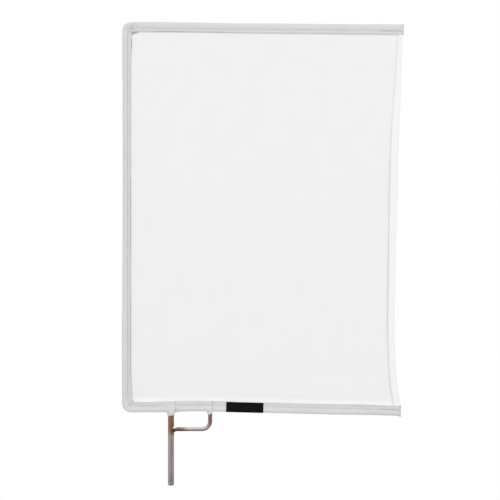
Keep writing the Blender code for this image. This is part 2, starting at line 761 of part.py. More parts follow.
def build():
    clear_scene()
    top_arm = empty("top_arm", TOP_ARM, TOP_DROOP)
    bottom_arm = empty("bottom_arm", BOTTOM_ARM, BOTTOM_DROOP)
    outer_arm = empty("outer_arm", KINK, OUTER_DROOP)

    frame_rod()
    mounting_pin()
    brace_rod()
    brazes()

    windows = (
        cuff("pin_cuff", 0.0, PIN_RADIUS, PIN_CUFF_DROP, PIN_CUFF_FLARE),
        cuff("brace_cuff", BRACE_OUT, BRACE_RADIUS, BRACE_CUFF_DROP, BRACE_CUFF_FLARE),
    )
    side_sleeve()
    top_end = TOP_TIP + GAP + FLAT_END
    arm_sleeve("top_sleeve", top_arm, 1, TOP_START + GAP, top_end, flat_end=True)
    end_hem("top_end_hem", top_arm, 1, top_end + GAP)
    bottom_sleeves(bottom_arm, outer_arm, windows)

    silk_panel()
    free_edge_hem()
    sewn_label(outer_arm)

    room = THREAD_END_ROOM
    label_start = LABEL_FROM_PIN - KINK_FROM_PIN
    label_end = label_start + LABEL_WIDTH
    outer_end = OUTER_TIP + FLAT_END - room
    arm_thread("top_seam_thread", top_arm, 1, TOP_START + room, TOP_TIP + FLAT_END - room)
    side_thread()
    arm_thread("bottom_seam_thread", bottom_arm, -1, BOTTOM_START + room, KINK_FROM_PIN - room)
    arm_thread("label_seam_thread", outer_arm, -1, room, label_start - room)
    arm_thread("outer_seam_thread", outer_arm, -1, label_end + room, outer_end)
    hem_thread()


build()
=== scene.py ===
# %% [markdown]
# An open-end silk flag softens a lamp on a film set. A rod bent to a C is sewn into white cloth
# sleeves on three sides, a panel of thin silk fills it, and the fourth side is only hemmed, so that
# it casts no hard edge. Below is the pin that a grip head holds, with a brace. It could all be
# modelled from nothing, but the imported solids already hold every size. So they are loaded first,
# and cloth and smooth metal are made on top of them.

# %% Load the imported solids
import math

import bmesh
import bpy
from mathutils import Matrix, Vector, noise


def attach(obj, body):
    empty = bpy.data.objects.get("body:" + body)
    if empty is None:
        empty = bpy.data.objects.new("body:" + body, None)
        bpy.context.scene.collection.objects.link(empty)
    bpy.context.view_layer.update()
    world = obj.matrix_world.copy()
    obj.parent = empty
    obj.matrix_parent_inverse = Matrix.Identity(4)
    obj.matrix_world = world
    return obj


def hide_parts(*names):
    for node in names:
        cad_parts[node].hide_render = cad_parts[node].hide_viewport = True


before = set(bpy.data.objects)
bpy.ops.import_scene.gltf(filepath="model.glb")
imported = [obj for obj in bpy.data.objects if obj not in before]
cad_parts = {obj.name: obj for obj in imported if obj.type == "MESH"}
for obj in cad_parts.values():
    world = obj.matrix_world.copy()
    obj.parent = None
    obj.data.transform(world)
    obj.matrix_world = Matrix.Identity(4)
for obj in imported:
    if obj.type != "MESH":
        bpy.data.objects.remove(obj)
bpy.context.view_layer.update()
MM = 0.001

# %% [markdown]
# The photograph was taken from straight in front and from far away. A long lens would match it, but
# then its distance has to be guessed, so the camera is orthographic. One pixel of the photograph is
# 1.5663 mm, and the pin's lower end is the origin.

# %% Camera
PIXEL = 1.5663 * MM
PICTURE = 500
PIN_COLUMN = 171.0
PIN_END_ROW = 485.6


def put_in_scene(name, data):
    obj = bpy.data.objects.new(name, data)
    bpy.context.scene.collection.objects.link(obj)
    return obj


camera_data = bpy.data.cameras.new("camera")
camera_data.type = "ORTHO"
camera_data.ortho_scale = PICTURE * PIXEL
camera = put_in_scene("camera", camera_data)
middle = PICTURE / 2
camera.location = ((middle - PIN_COLUMN) * PIXEL, -2.0, (PIN_END_ROW - middle) * PIXEL)
camera.rotation_euler = (math.pi / 2, 0, 0)
bpy.context.scene.camera = camera
bpy.context.scene.view_settings.view_transform = "Standard"
print("camera sees", round(camera_data.ortho_scale, 4), "m")

# %% [markdown]
# A colour is easiest to think of as it looks on a screen, from 0 to 255, but the shader wants
# linear light, so one helper changes it. The nodes of a material could be placed and linked one by
# one. Most are of a few kinds, so a short helper makes each kind, in the tree of what goes into it,
# and gives back what comes out.

# %% Colours and nodes


def linear(*channels):
    """A colour as seen, from 0 to 255, as the shader's linear RGBA."""
    shares = [c / 255 for c in channels]
    return (*[s / 12.92 if s <= 0.04045 else ((s + 0.055) / 1.055) ** 2.4 for s in shares], 1.0)


def new_material(name):
    material = bpy.data.materials.new(name)
    material.use_nodes = True
    return material, material.node_tree, material.node_tree.nodes["Principled BSDF"]


def fill(node, inputs):
    """Set a node's inputs to their values, or link them to what they come from."""
    for socket, value in inputs.items():
        if isinstance(value, bpy.types.NodeSocket):
            node.id_data.links.new(value, node.inputs[socket])
        else:
            node.inputs[socket].default_value = value


def outputs_of(tree, kind, inputs=None, **settings):
    """The outputs of a new node of a kind, with its settings and inputs."""
    node = tree.nodes.new(f"ShaderNode{kind}")
    for name, value in settings.items():
        setattr(node, name, value)
    fill(node, inputs or {})
    return node.outputs


def maths(operation, first, second=0.0):
    return outputs_of(first.id_data, "Math", {0: first, 1: second}, operation=operation)[0]


def times(first, second):
    return maths("MULTIPLY", first, second)


def plus(first, second):
    return maths("ADD", first, second)


def vector_maths(operation, first, second=(0, 0, 0), output=0):
    inputs = {0: first, 1: second}
    return outputs_of(first.id_data, "VectorMath", inputs, operation=operation)[output]


def mapped(value, low, high, to_low=0.0, to_high=1.0, curve="LINEAR"):
    """to_low at low and to_high at high, and not beyond them."""
    inputs = {"From Min": low, "From Max": high, "To Min": to_low, "To Max": to_high}
    inputs["Value"] = value
    return outputs_of(value.id_data, "MapRange", inputs, interpolation_type=curve)[0]


def noise_at(place, scale, detail=2.0, rough=0.5):
    inputs = {"Vector": place, "Scale": scale, "Detail": detail, "Roughness": rough}
    return outputs_of(place.id_data, "TexNoise", inputs)["Fac"]


def blended(share, first, second):
    """The colour that a share of the second laid over the first makes."""
    inputs = {"Factor": share, 6: first, 7: second}
    return outputs_of(share.id_data, "Mix", inputs, data_type="RGBA")[2]


def bumped(height, strength, depth):
    """The normal of a surface with bumps of a depth in mm."""
    inputs = {"Height": height, "Strength": strength, "Distance": depth * MM}
    return outputs_of(height.id_data, "Bump", inputs)[0]


def new_group(name, inputs, outputs):
    """An empty shader group with sockets by kind, what its inputs give, and its output node."""
    group = bpy.data.node_groups.new(name, "ShaderNodeTree")
    for in_out, kinds in (("INPUT", inputs), ("OUTPUT", outputs)):
        for kind, labels in kinds.items():
            for label in labels:
                socket_type = f"NodeSocket{kind}"
                group.interface.new_socket(name=label, in_out=in_out, socket_type=socket_type)
    return group, group.nodes.new("NodeGroupInput").outputs, group.nodes.new("NodeGroupOutput")


print("a grey of 214 is", round(linear(214)[0], 3), "in linear light")

# %% [markdown]
# The light is plain and soft. A studio has several lamps with cloths of their own, but a world that
# shines from all round, a little more from above, and one broad lamp high in front do the same with
# less to set. Rays from the camera see the world as pure white, as the photograph's background is.
# Polished steel sees it white behind the flag and dimmer in front and below, where a studio is
# dark, and that is what gives a round bar its darker middle.

# %% World, lamp and floor
WORLD_LIGHT = 0.69
WORLD_TOP = 1.08
DIM_SIDE = (0.28, -0.56, -0.78)
GLOSS_BEHIND = 1.05
GLOSS_IN_FRONT = 0.34
LAMP_WATTS = 134
LAMP_SIZE = 3.5
LAMP_PLACE = Vector((0.7, -6.0, 3.3))
LAMP_AIM = Vector((0.15, 0, 0.4))
FLOOR_HALF = 6

world = bpy.data.worlds.new("world")
bpy.context.scene.world = world
world.use_nodes = True
tree = world.node_tree
path = outputs_of(tree, "LightPath")
way = outputs_of(tree, "TexCoord")["Generated"]
height = outputs_of(tree, "SeparateXYZ", {0: way})["Z"]
soft = mapped(height, 0.0, 1.0, WORLD_LIGHT, WORLD_TOP)
towards = vector_maths("DOT_PRODUCT", way, DIM_SIDE, "Value")
gloss = mapped(towards, 0.25, 1.0, GLOSS_BEHIND, GLOSS_IN_FRONT)
lit = outputs_of(tree, "Mix", {"Factor": path["Is Glossy Ray"], 2: soft, 3: gloss})[0]
clear = maths("MAXIMUM", path["Is Camera Ray"], path["Is Transmission Ray"])
strength = outputs_of(tree, "Mix", {"Factor": clear, 2: lit, 3: 1.0})[0]
fill(tree.nodes["Background"], {"Color": (1, 1, 1, 1), "Strength": strength})

lamp_data = bpy.data.lights.new("broad_lamp", "AREA")
lamp_data.energy = LAMP_WATTS
lamp_data.size = LAMP_SIZE
lamp = put_in_scene("broad_lamp", lamp_data)
lamp.location = LAMP_PLACE
lamp.rotation_euler = (LAMP_AIM - LAMP_PLACE).to_track_quat("-Z", "Y").to_euler()
lamp.visible_glossy = False

bm = bmesh.new()
bmesh.ops.create_grid(bm, x_segments=1, y_segments=1, size=FLOOR_HALF)
floor_mesh = bpy.data.meshes.new("floor")
bm.to_mesh(floor_mesh)
bm.free()
floor = put_in_scene("floor", floor_mesh)
floor.visible_glossy = False
floor_look, tree, shader = new_material("pale_floor")
fill(shader, {"Base Color": (0.86, 0.86, 0.86, 1), "Roughness": 0.8})
floor_mesh.materials.append(floor_look)
print("world", WORLD_LIGHT, "lamp", lamp_data.energy, "W")

# %% [markdown]
# Every cloth here is plain woven: threads run both ways, each over one and under the next. Real
# threads would be millions of faces. The product of two sine waves gives the same checker of bumps,
# and the waves read the cloth's own UV map, which is in metres, so the weave follows every fold.

# %% Plain weave group
weave, weave_in, weave_out = new_group(
    "plain_weave",
    {"Vector": ["Vector"], "Float": ["Threads per metre", "Slub"]},
    {"Float": ["Height"]},
)
split = outputs_of(weave, "SeparateXYZ", {0: weave_in["Vector"]})
pitch = times(weave_in["Threads per metre"], math.pi)
across = maths("SINE", times(split["X"], pitch))
down = maths("SINE", times(split["Y"], pitch))
slub = times(noise_at(weave_in["Vector"], 420.0), weave_in["Slub"])
fill(weave_out, {"Height": plus(times(across, down), slub)})
print("weave group has", len(weave.nodes), "nodes")

# %% [markdown]
# Cloth that has been on many sets is never one even white. Broad, faint clouds of handling and a
# finer fleck vary its colour by a few per cent, and noise gives both without a picture. Creases,
# sewn edges, laps and folds are darker too, which is painted shade with some dust in it. A noise
# can't know where those are, so each piece keeps it as a point attribute.

# %% Handled cloth group
handled_and_shaded, handled_in, handled_out = new_group(
    "handled_and_shaded_cloth",
    {
        "Vector": ["Vector"],
        "Color": ["Clean", "Soiled", "Shade and dust colour"],
        "Float": ["Amount", "Shade and dust"],
    },
    {"Color": ["Color"]},
)
cloud = noise_at(handled_in["Vector"], 28.0, 3.0)
fleck = noise_at(handled_in["Vector"], 900.0, 1.0)
clouds = mapped(times(cloud, fleck), 0.15, 0.40)
soil = times(clouds, handled_in["Amount"])
colour = blended(soil, handled_in["Clean"], handled_in["Soiled"])
# Painted shade, with some dust, darkens the colour as far as the piece's point attribute says.
colour = blended(handled_in["Shade and dust"], colour, handled_in["Shade and dust colour"])
fill(handled_out, {"Color": colour})
print("handled cloth group has", len(handled_and_shaded.nodes), "nodes")

# %% [markdown]
# White silk, its hem, cotton sleeves, black tape and sewing thread differ only in a few numbers, so
# one function makes them all from the two groups and the Principled shader. The silk also lets
# light through from behind, so a Translucent shader is mixed in. Transmission would make it look
# like glass, since silk scatters the light that it lets through.

# %% Cloth materials
SLUB = 0.8
SHADE_AND_DUST_DARKNESS = 0.55


def cloth_material(name, clean, soiled, amount, threads, bump, rough, sheen=0.0, through=0, gap_shade=0):
    """Woven cloth: colours as seen, threads per metre, the weave's depth in mm, the share of the
    light that comes through, and how much painted shade darkens the spaces between the threads."""
    material, tree, shader = new_material(name)
    uv = outputs_of(tree, "UVMap", uv_map="flat")["UV"]
    inputs = {"Vector": uv, "Threads per metre": threads, "Slub": SLUB}
    height = outputs_of(tree, "Group", inputs, node_tree=weave)["Height"]
    # The label's spaces between threads are darkened by the weave's height, as painted shade; other
    # cloths take painted shade and dust from the piece's point attribute.
    if gap_shade:
        shade_and_dust = plus(times(height, -0.5 * gap_shade), 0.5 * gap_shade)
    else:
        shade_and_dust = outputs_of(tree, "Attribute", attribute_name="shade_and_dust")["Fac"]
    inputs = {
        "Vector": outputs_of(tree, "TexCoord")["Object"],
        "Clean": linear(*clean),
        "Soiled": linear(*soiled),
        "Amount": amount,
        "Shade and dust": shade_and_dust,
        "Shade and dust colour": linear(*[SHADE_AND_DUST_DARKNESS * c for c in soiled]),
    }
    colour = outputs_of(tree, "Group", inputs, node_tree=handled_and_shaded)["Color"]
    normal = bumped(height, 0.6, bump)
    inputs = {"Base Color": colour, "Normal": normal, "Roughness": rough, "Sheen Weight": sheen}
    fill(shader, {**inputs, "Specular IOR Level": 0.15})
    if through:
        glow = outputs_of(tree, "BsdfTranslucent", {"Color": colour, "Normal": normal})[0]
        both = outputs_of(tree, "MixShader", {0: through, 1: shader.outputs["BSDF"], 2: glow})[0]
        fill(tree.nodes["Material Output"], {"Surface": both})
    return material


silk_cloth = cloth_material("thin_silk", (250,) * 3, (245,) * 3, 0.4, 4000, 0.03, 0.7, 0.1, 0.25)
hem_cloth = cloth_material("silk_hem", (231,) * 3, (226,) * 3, 0.5, 4000, 0.03, 0.7, 0.1)
sleeve_cloth = cloth_material("sleeve_cotton", (209,) * 3, (199,) * 3, 0.6, 2200, 0.08, 0.9)
label_cloth = cloth_material("label_tape", (10, 10, 12), (5, 5, 6), 0.7, 1900, 0.12, 0.8, gap_shade=1)
thread_cloth = cloth_material("sewing_thread", (196,) * 3, (184,) * 3, 0.5, 6000, 0.03, 0.6, 0.1)
print("cloth materials:", [m.name for m in bpy.data.materials if m.users == 0])

# %% [markdown]
# The rods are drawn steel, so fine streaks run along them: a noise whose space is squeezed across
# the rod. The heat of brazing has tinted the pin's top and both ends of the brace: straw yellow
# where the steel was warm, then copper brown, and a scorched dark brown close to the joint. The
# same masks also paint shade: the scorched brown on the brace is kept to its underside, and the
# brazed fillet is painted brown below the brace's middle and left pale above it, a painted
# highlight. Marks of one more colour lie on top: grey scuffs on the pin, and a violet tint on the
# brace near the arm. Materials with soft edges between them would be hard to keep alike, so one
# group mixes the colours from three masks, heat, scorch and marks.

# %% Drawn steel group
STAINS = ("Straw colour", "Heat colour", "Scorch colour", "Mark colour")
drawn, steel_in, steel_out = new_group(
    "drawn_steel",
    {
        "Vector": ["Vector", "Along"],
        "Color": ["Bright", "Dull", *STAINS],
        "Float": ["Heat", "Scorch", "Marks", "Smoothest", "Roughest"],
    },
    {"Color": ["Color"], "Float": ["Roughness", "Height"]},
)
stretched = vector_maths("MULTIPLY", steel_in["Vector"], steel_in["Along"])
streak = noise_at(stretched, 1.0, 4.0, 0.65)
patch = noise_at(steel_in["Vector"], 160.0, 3.0)
patchy = plus(times(patch, 0.5), -0.25)
heat = outputs_of(drawn, "Clamp", {"Value": plus(steel_in["Heat"], patchy)})[0]
warm = times(heat, steel_in["Heat"])
warming = mapped(warm, 0.0, 0.35)
browning = mapped(warm, 0.25, 0.8, 0.0, 0.86)
# On the brace's underside and on the fillet this dark brown is painted shade.
sooty_and_shaded = times(steel_in["Scorch"], plus(times(patch, 0.6), 0.7))
colour = blended(mapped(streak, 0.3, 0.7), steel_in["Bright"], steel_in["Dull"])
for share, stain in zip((warming, browning, sooty_and_shaded, steel_in["Marks"]), STAINS):
    colour = blended(share, colour, steel_in[stain])
rough = mapped(streak, 0.3, 0.7, steel_in["Smoothest"], steel_in["Roughest"])
dented = maths("SUBTRACT", streak, steel_in["Marks"])
fill(steel_out, {"Color": colour, "Roughness": rough, "Height": dented})
print("drawn steel group has", len(drawn.nodes), "nodes")

# %% [markdown]
# Where the heat was is a matter of place. It could be painted on each rod, but a rod has few points
# to paint. So each material works its masks out from Object coordinates: from the height, and from
# how far it is to the joint. The jaws of grip heads have scuffed the last 27 mm of the pin, with
# one darker ring.

# %% Metal materials
JOINT = (4.76 * MM, 0.0, 88.4 * MM)
JOINT_SHAPE = (1.2, 1.0, 0.7)
DARK_RIM = (0.6, 0.56, 0.56, 1.0)
STRAW = (170, 159, 146)
SCORCHED_AND_SHADED = (84, 58, 50)
SCUFFED = (128, 127, 128)
VIOLET = (128, 101, 101)
JAW_MARKS = (320, 320, 1500)
UPRIGHT_STREAKS = (1400, 1400, 60)
LEVEL_STREAKS = (60, 1400, 1400)
EVEN_GRAIN = (500, 500, 500)


def ramp(value, low, high, unit=MM):
    """0 at low and 1 at high, smoothly. The two are in mm, or in another unit."""
    return mapped(value, low * unit, high * unit, curve="SMOOTHSTEP")


def near_joint(place, far, close):
    """1 within close of the joint and 0 beyond far, reaching further up and down than across."""
    away = vector_maths("SUBTRACT", place, JOINT)
    away = vector_maths("MULTIPLY", away, JOINT_SHAPE)
    return ramp(vector_maths("LENGTH", away, output="Value"), far, close)


def pin_masks(place, x, z):
    jaws = noise_at(vector_maths("MULTIPLY", place, JAW_MARKS), 1.0)
    scuff = plus(times(ramp(jaws, 0.56, 0.66, unit=1), 0.6), 0.3)
    scuff = times(times(scuff, ramp(z, 27, 16)), ramp(z, 3.5, 7.5))
    ring = times(ramp(z, 6, 7.4), ramp(z, 9.8, 8.4))
    scuff = plus(scuff, times(ring, 0.45))
    return ramp(z, 64, 88), near_joint(place, 10, 3), scuff


def brace_masks(place, x, z):
    near_pin = times(ramp(x, 32, 12), 0.92)
    round_bend = plus(z, times(x, 0.6))
    heat = maths("MAXIMUM", near_pin, ramp(round_bend, 123, 139))
    scorch_and_shade = plus(times(near_joint(place, 22, 8), 0.35), 0.5)
    violet = times(ramp(round_bend, 112, 142), 0.7)
    # Kept below the brace's middle: real scorch near the joint, painted shade along the whole
    # underside.
    return heat, times(scorch_and_shade, ramp(z, 89.2, 86.2)), violet


# The fillet is tinted dark below the brace's middle, which is painted shade, and its pale top is a
# painted highlight.
def fillet_shade_masks(place, x, z):
    return ramp(z, 90.5, 89.0), times(ramp(z, 89.5, 86.5), 0.8)


def metal_material(
    name, colours, along, masks_of=None, bump=0.02, gloss=(0.2, 0.45), marks=SCUFFED
):
    """Drawn metal: its bright, dull and tinted colours as seen, the streaks' scale each way, and
    masks_of(place, x, z), which gives its heat, its scorching and any marks; on the brace's
    underside and on the fillet these masks paint shade."""
    material, tree, shader = new_material(name)
    place = outputs_of(tree, "TexCoord")["Object"]
    inputs = {"Vector": place, "Along": along, "Smoothest": gloss[0], "Roughest": gloss[1]}
    bright, dull, tint = colours
    looks = zip(("Bright", "Dull", *STAINS), (bright, dull, STRAW, tint, SCORCHED_AND_SHADED, marks))
    for socket, seen in looks:
        inputs[socket] = linear(*seen)
    if masks_of:
        split = outputs_of(tree, "SeparateXYZ", {0: place})
        masks = masks_of(place, split["X"], split["Z"])
        inputs.update(zip(("Heat", "Scorch", "Marks"), masks))
    steel = outputs_of(tree, "Group", inputs, node_tree=drawn)
    inputs = {"Base Color": steel["Color"], "Roughness": steel["Roughness"]}
    inputs["Normal"] = bumped(steel["Height"], 0.5, bump)
    fill(shader, {**inputs, "Metallic": 1.0, "Specular Tint": DARK_RIM})
    return material


PIN_COLOURS = ((178, 166, 169), (137, 126, 129), (138, 98, 81))
BRACE_COLOURS = ((229, 222, 224), (195, 186, 188), (152, 114, 100))
HIDDEN_COLOURS = ((170, 164, 165), (120, 112, 112), (140, 112, 98))
# The bronze's nearly white bright colour stays on the fillet's top as a painted highlight.
BRONZE_COLOURS = ((255, 246, 236), (236, 208, 188), (136, 98, 84))
pin_steel = metal_material("drawn_pin_steel", PIN_COLOURS, UPRIGHT_STREAKS, pin_masks)
brace_steel = metal_material(
    "drawn_brace_steel", BRACE_COLOURS, LEVEL_STREAKS, brace_masks, gloss=(0.14, 0.34), marks=VIOLET
)
hidden_steel = metal_material("drawn_frame_steel", HIDDEN_COLOURS, LEVEL_STREAKS)
braze_bronze = metal_material(
    "brazed_bronze", BRONZE_COLOURS, EVEN_GRAIN, fillet_shade_masks, 0.10, (0.12, 0.30)
)
print("metals:", pin_steel.name, brace_steel.name, hidden_steel.name, braze_bronze.name)

# %% [markdown]
# All the cloth hangs on one line: the centre of the rod, from the top arm's tip, round both corners
# and out to the bottom arm's tip. A Blender curve could carry it, but every seam also needs the way
# inwards, towards the silk, so a function gives both at any distance along the line. Its sizes are
# the solids' own. From here on every length is in millimetres, until a piece's mesh is made.

# %% The frame's line
ROD_RADIUS = 3.175
PIN_RADIUS = 4.7625
TOP_DROOP = math.radians(0.57)
BOTTOM_DROOP = math.radians(-0.5)
OUTER_DROOP = math.radians(1.42)
BEND = 9.5
KINK_BEND = 60
SIDE_X = -72.2
KINK_X = 65.0
PIN_REACH = 119.5
TOP_ARM_LENGTH = 429.2
BOTTOM_ARM_LENGTH = 424.7
SIDE_HEIGHT = 609.6 - 2 * ROD_RADIUS


def heading_way(angle):
    return Vector((math.cos(angle), 0, math.sin(angle)))


def inward_way(angle):
    return Vector((-math.sin(angle), 0, math.cos(angle)))


BOTTOM_CORNER_Z = PIN_REACH + math.tan(BOTTOM_DROOP) * -SIDE_X
TOP_CORNER = Vector((SIDE_X, 0, BOTTOM_CORNER_Z + SIDE_HEIGHT))
TOP_ROOM = BEND * math.tan((math.pi / 2 + TOP_DROOP) / 2)
BOTTOM_ROOM = BEND * math.tan((math.pi / 2 - BOTTOM_DROOP) / 2)
KINK_TURN = OUTER_DROOP - BOTTOM_DROOP
KINK_ROOM = KINK_BEND * math.tan(KINK_TURN / 2)
RUNS = (
    (TOP_ARM_LENGTH - TOP_ROOM, BEND, math.pi / 2 + TOP_DROOP),
    (SIDE_HEIGHT - TOP_ROOM - BOTTOM_ROOM, BEND, math.pi / 2 - BOTTOM_DROOP),
    ((KINK_X - SIDE_X) / math.cos(BOTTOM_DROOP) - BOTTOM_ROOM - KINK_ROOM, KINK_BEND, -KINK_TURN),
    (BOTTOM_ARM_LENGTH - (KINK_X - SIDE_X) - KINK_ROOM, 0, 0),
)


def laid_out(runs, start, angle):
    """Each straight and bend of the line as (distance, point, angle, bend radius, turn)."""
    parts = []
    far = 0.0
    point = start
    for length, radius, turn in runs:
        parts.append((far, point, angle, 0.0, 0.0))
        point = point + heading_way(angle) * length
        far += length
        if turn:
            parts.append((far, point, angle, radius, turn))
            side = math.copysign(radius, turn)
            point = point + side * (inward_way(angle) - inward_way(angle + turn))
            angle += turn
            far += radius * abs(turn)
    return parts, far


LINE_START = TOP_CORNER + heading_way(-TOP_DROOP) * TOP_ARM_LENGTH
# Places on the top arm are measured from its tip as a mesh in metres holds it.
START_X = Vector((LINE_START.x * MM, 0, 0)).x / MM
LINE, LINE_LENGTH = laid_out(RUNS, LINE_START, math.pi - TOP_DROOP)
TOP_BEND_START, TOP_BEND_END, LOW_BEND_START, LOW_BEND_END = [part[0] for part in LINE[1:5]]


def line_at(distance):
    """(point, way along, way inwards) at a distance along the frame's line, also past its ends."""
    reached = [part for part in LINE if part[0] <= max(distance, 0.0)]
    far, point, angle, radius, turn = reached[-1]
    beyond = distance - far
    if not turn:
        return point + heading_way(angle) * beyond, heading_way(angle), inward_way(angle)
    side = math.copysign(radius, turn)
    now = angle + math.copysign(beyond / radius, turn)
    return point + side * (inward_way(angle) - inward_way(now)), heading_way(now), inward_way(now)


def on_top(x):
    """The distance along the line of a place on the top arm."""
    return (START_X - x) / math.cos(TOP_DROOP)


def on_bottom(x):
    """The distance along the line of a place on the bottom arm."""
    to_kink = (min(x, KINK_X) - SIDE_X) / math.cos(BOTTOM_DROOP)
    return LOW_BEND_END - BOTTOM_ROOM + to_kink + max(x - KINK_X, 0) / math.cos(OUTER_DROOP)


print("line", round(LINE_LENGTH, 1), "mm, over the pin at", line_at(on_bottom(0))[0])

# %% [markdown]
# A sleeve is one strip of cloth folded over the rod. Across the rod it starts at one leaf's edge,
# runs to the crease, goes round the rod and comes back down the other leaf. A tube with two strips
# stuck on would show joins that the cloth hasn't got. So the whole section is worked out once, as
# points at even spacing, softened at the creases, each with its way out.

# %% Section of a sleeve
TUBE = 4.075
CREASE = 5.9
LEAF_HALF = 1.05
ARM_REACH = 12.4
SECTION_POINTS = 53
SOFTENED = 2


def evenly(points, count):
    """count points at even spacing along a line of (a, b) points."""
    reach = [0.0]
    for before, after in zip(points, points[1:]):
        reach.append(reach[-1] + math.dist(before, after))
    even = []
    for i in range(count):
        want = reach[-1] * i / (count - 1)
        k = max(j for j in range(len(points) - 1) if reach[j] <= want)
        share = (want - reach[k]) / (reach[k + 1] - reach[k])
        even.append(tuple(a + (b - a) * share for a, b in zip(points[k], points[k + 1])))
    return even, reach[-1]


def sleeve_section():
    """(depth, inward, way out) round a sleeve, from its back leaf's edge to its front one's, and
    the width of the strip."""
    lean = math.atan2(LEAF_HALF, -CREASE) - math.acos(TUBE / math.hypot(LEAF_HALF, CREASE))
    arc = [lean * (1 - i / 24) for i in range(49)]
    skin = [(LEAF_HALF, ARM_REACH), (LEAF_HALF, CREASE)]
    skin += [(TUBE * math.sin(a), -TUBE * math.cos(a)) for a in arc]
    skin += [(-LEAF_HALF, CREASE), (-LEAF_HALF, ARM_REACH)]
    points, width = evenly(skin, SECTION_POINTS)
    for _ in range(SOFTENED):
        inner = zip(points, points[1:], points[2:])
        inner = [tuple((a + 2 * b + c) / 4 for a, b, c in zip(*three)) for three in inner]
        points = [points[0], *inner, points[-1]]
    section = []
    for i, (depth, inward) in enumerate(points):
        before, after = points[max(i - 1, 0)], points[min(i + 1, len(points) - 1)]
        step = Vector((after[0] - before[0], after[1] - before[1])).normalized()
        section.append((depth, inward, (-step.y, step.x)))
    return section, width


SECTION, STRIP_WIDTH = sleeve_section()
print("the sleeve's strip is", round(STRIP_WIDTH, 1), "mm wide,", len(SECTION), "points across")

# %% [markdown]
# At a corner the leaves have less way to go than the tube, so they fan round the inner corner. Left
# square to the rod they would cross each other. So the leaf's edge follows a curve of its own
# there, and the points between it and the crease are shared out. How wide the leaf is also varies,
# as cloth turned in by hand does. Each uneven place on the bottom arm is where it is, how far it
# spreads and how much wider the leaf is.

# %% Fans at the corners
SIDE_START = on_top(-61.3)
TOP_FAN = (SIDE_START, TOP_BEND_END + 20)
LOW_FAN = (LOW_BEND_START - 9, LOW_BEND_END + 9)
TOP_REACH = 11.4
SIDE_REACH = 9.0
BOTTOM_REACH = 12.0
BOTTOM_UNEVEN = ((-33, 20, -0.7), (38, 24, 0.6), (120, 45, -0.4), (215, 60, -0.6))


def smoothstep(value, low, high):
    share = min(max((value - low) / (high - low), 0.0), 1.0)
    return share * share * (3 - 2 * share)


def bell(value, centre, width):
    return math.exp(-(((value - centre) / width) ** 2))


def reach_at(distance):
    """How far in from the rod's centre the leaf's edge lies."""
    if distance < TOP_FAN[1]:
        x = START_X - distance
        return TOP_REACH - 0.8 * bell(x, 5, 75) + 0.32 * min(max(-48.3 - x, 0.0), 13)
    if distance <= LOW_FAN[0]:
        z = line_at(distance)[0].z
        return SIDE_REACH + 2.0 * smoothstep(z, 655, 698) + 2.4 * smoothstep(z, 190, 138)
    uneven = [more * bell(distance, on_bottom(x), far) for x, far, more in BOTTOM_UNEVEN]
    return BOTTOM_REACH + sum(uneven)


def crossing(first, first_way, second, second_way):
    """Where two lines in the XZ plane meet."""
    apart = second - first
    square = first_way.x * second_way.z - first_way.z * second_way.x
    return first + first_way * ((apart.x * second_way.z - apart.z * second_way.x) / square)


def leaf_edge(distance):
    """The place of the leaf's edge beside a distance along the line."""
    for low, high, straighter in ((*TOP_FAN, 0.7), (*LOW_FAN, 0.0)):
        if low < distance < high:
            first, first_way, first_in = line_at(low)
            second, second_way, second_in = line_at(high)
            start = first + first_in * reach_at(low)
            end = second + second_in * reach_at(high)
            knee = crossing(start, first_way, end, second_way)
            knee = knee.lerp((start + end) / 2, straighter)
            share = (distance - low) / (high - low)
            return start * (1 - share) ** 2 + knee * 2 * share * (1 - share) + end * share**2
    point, _, inward = line_at(distance)
    return point + inward * reach_at(distance)


def sleeve_point(distance, inward):
    """A place in the flag's plane, beside a distance along the line and inward from the rod."""
    point, _, inward_unit = line_at(distance)
    if inward <= CREASE:
        return point + inward_unit * inward
    crease = point + inward_unit * CREASE
    share = (inward - CREASE) / (ARM_REACH - CREASE)
    return crease + (leaf_edge(distance) - crease) * share


print("top fan", round(TOP_FAN[1] - TOP_FAN[0], 1), "mm")

# %% [markdown]
# Cloth sewn tight over a rod hardly moves, so a cloth simulation would only hide where it goes.
# Here it is a grid instead. Each of its points is put in its place by a function, and its flat
# place in metres is kept as a UV map. Solidify gives it its thickness inwards, away from what is
# seen. Its body, and the solids that it takes the place of, are set as its mesh is made.

# %% Making a piece
ROD_ROOM = 0.58
MERGED = 0.005


def ripple(along, across, wave, seed):
    """Smooth noise from -1 to 1 with waves of about a size, the same on every run."""
    return noise.noise(Vector((along / wave, across / wave, seed * 7.13)))


def piece(name, nodes, bm, material):
    """An object on the frame's body, made from bm, in place of the solids named in nodes."""
    bmesh.ops.scale(bm, verts=bm.verts, vec=(MM, MM, MM))
    mesh = bpy.data.meshes.new(name)
    bm.to_mesh(mesh)
    bm.free()
    mesh.shade_smooth()
    mesh.materials.append(material)
    obj = put_in_scene(name, mesh)
    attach(obj, "root")
    if nodes:
        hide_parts(*nodes)
    print(name, "has", len(mesh.polygons), "faces")
    return obj


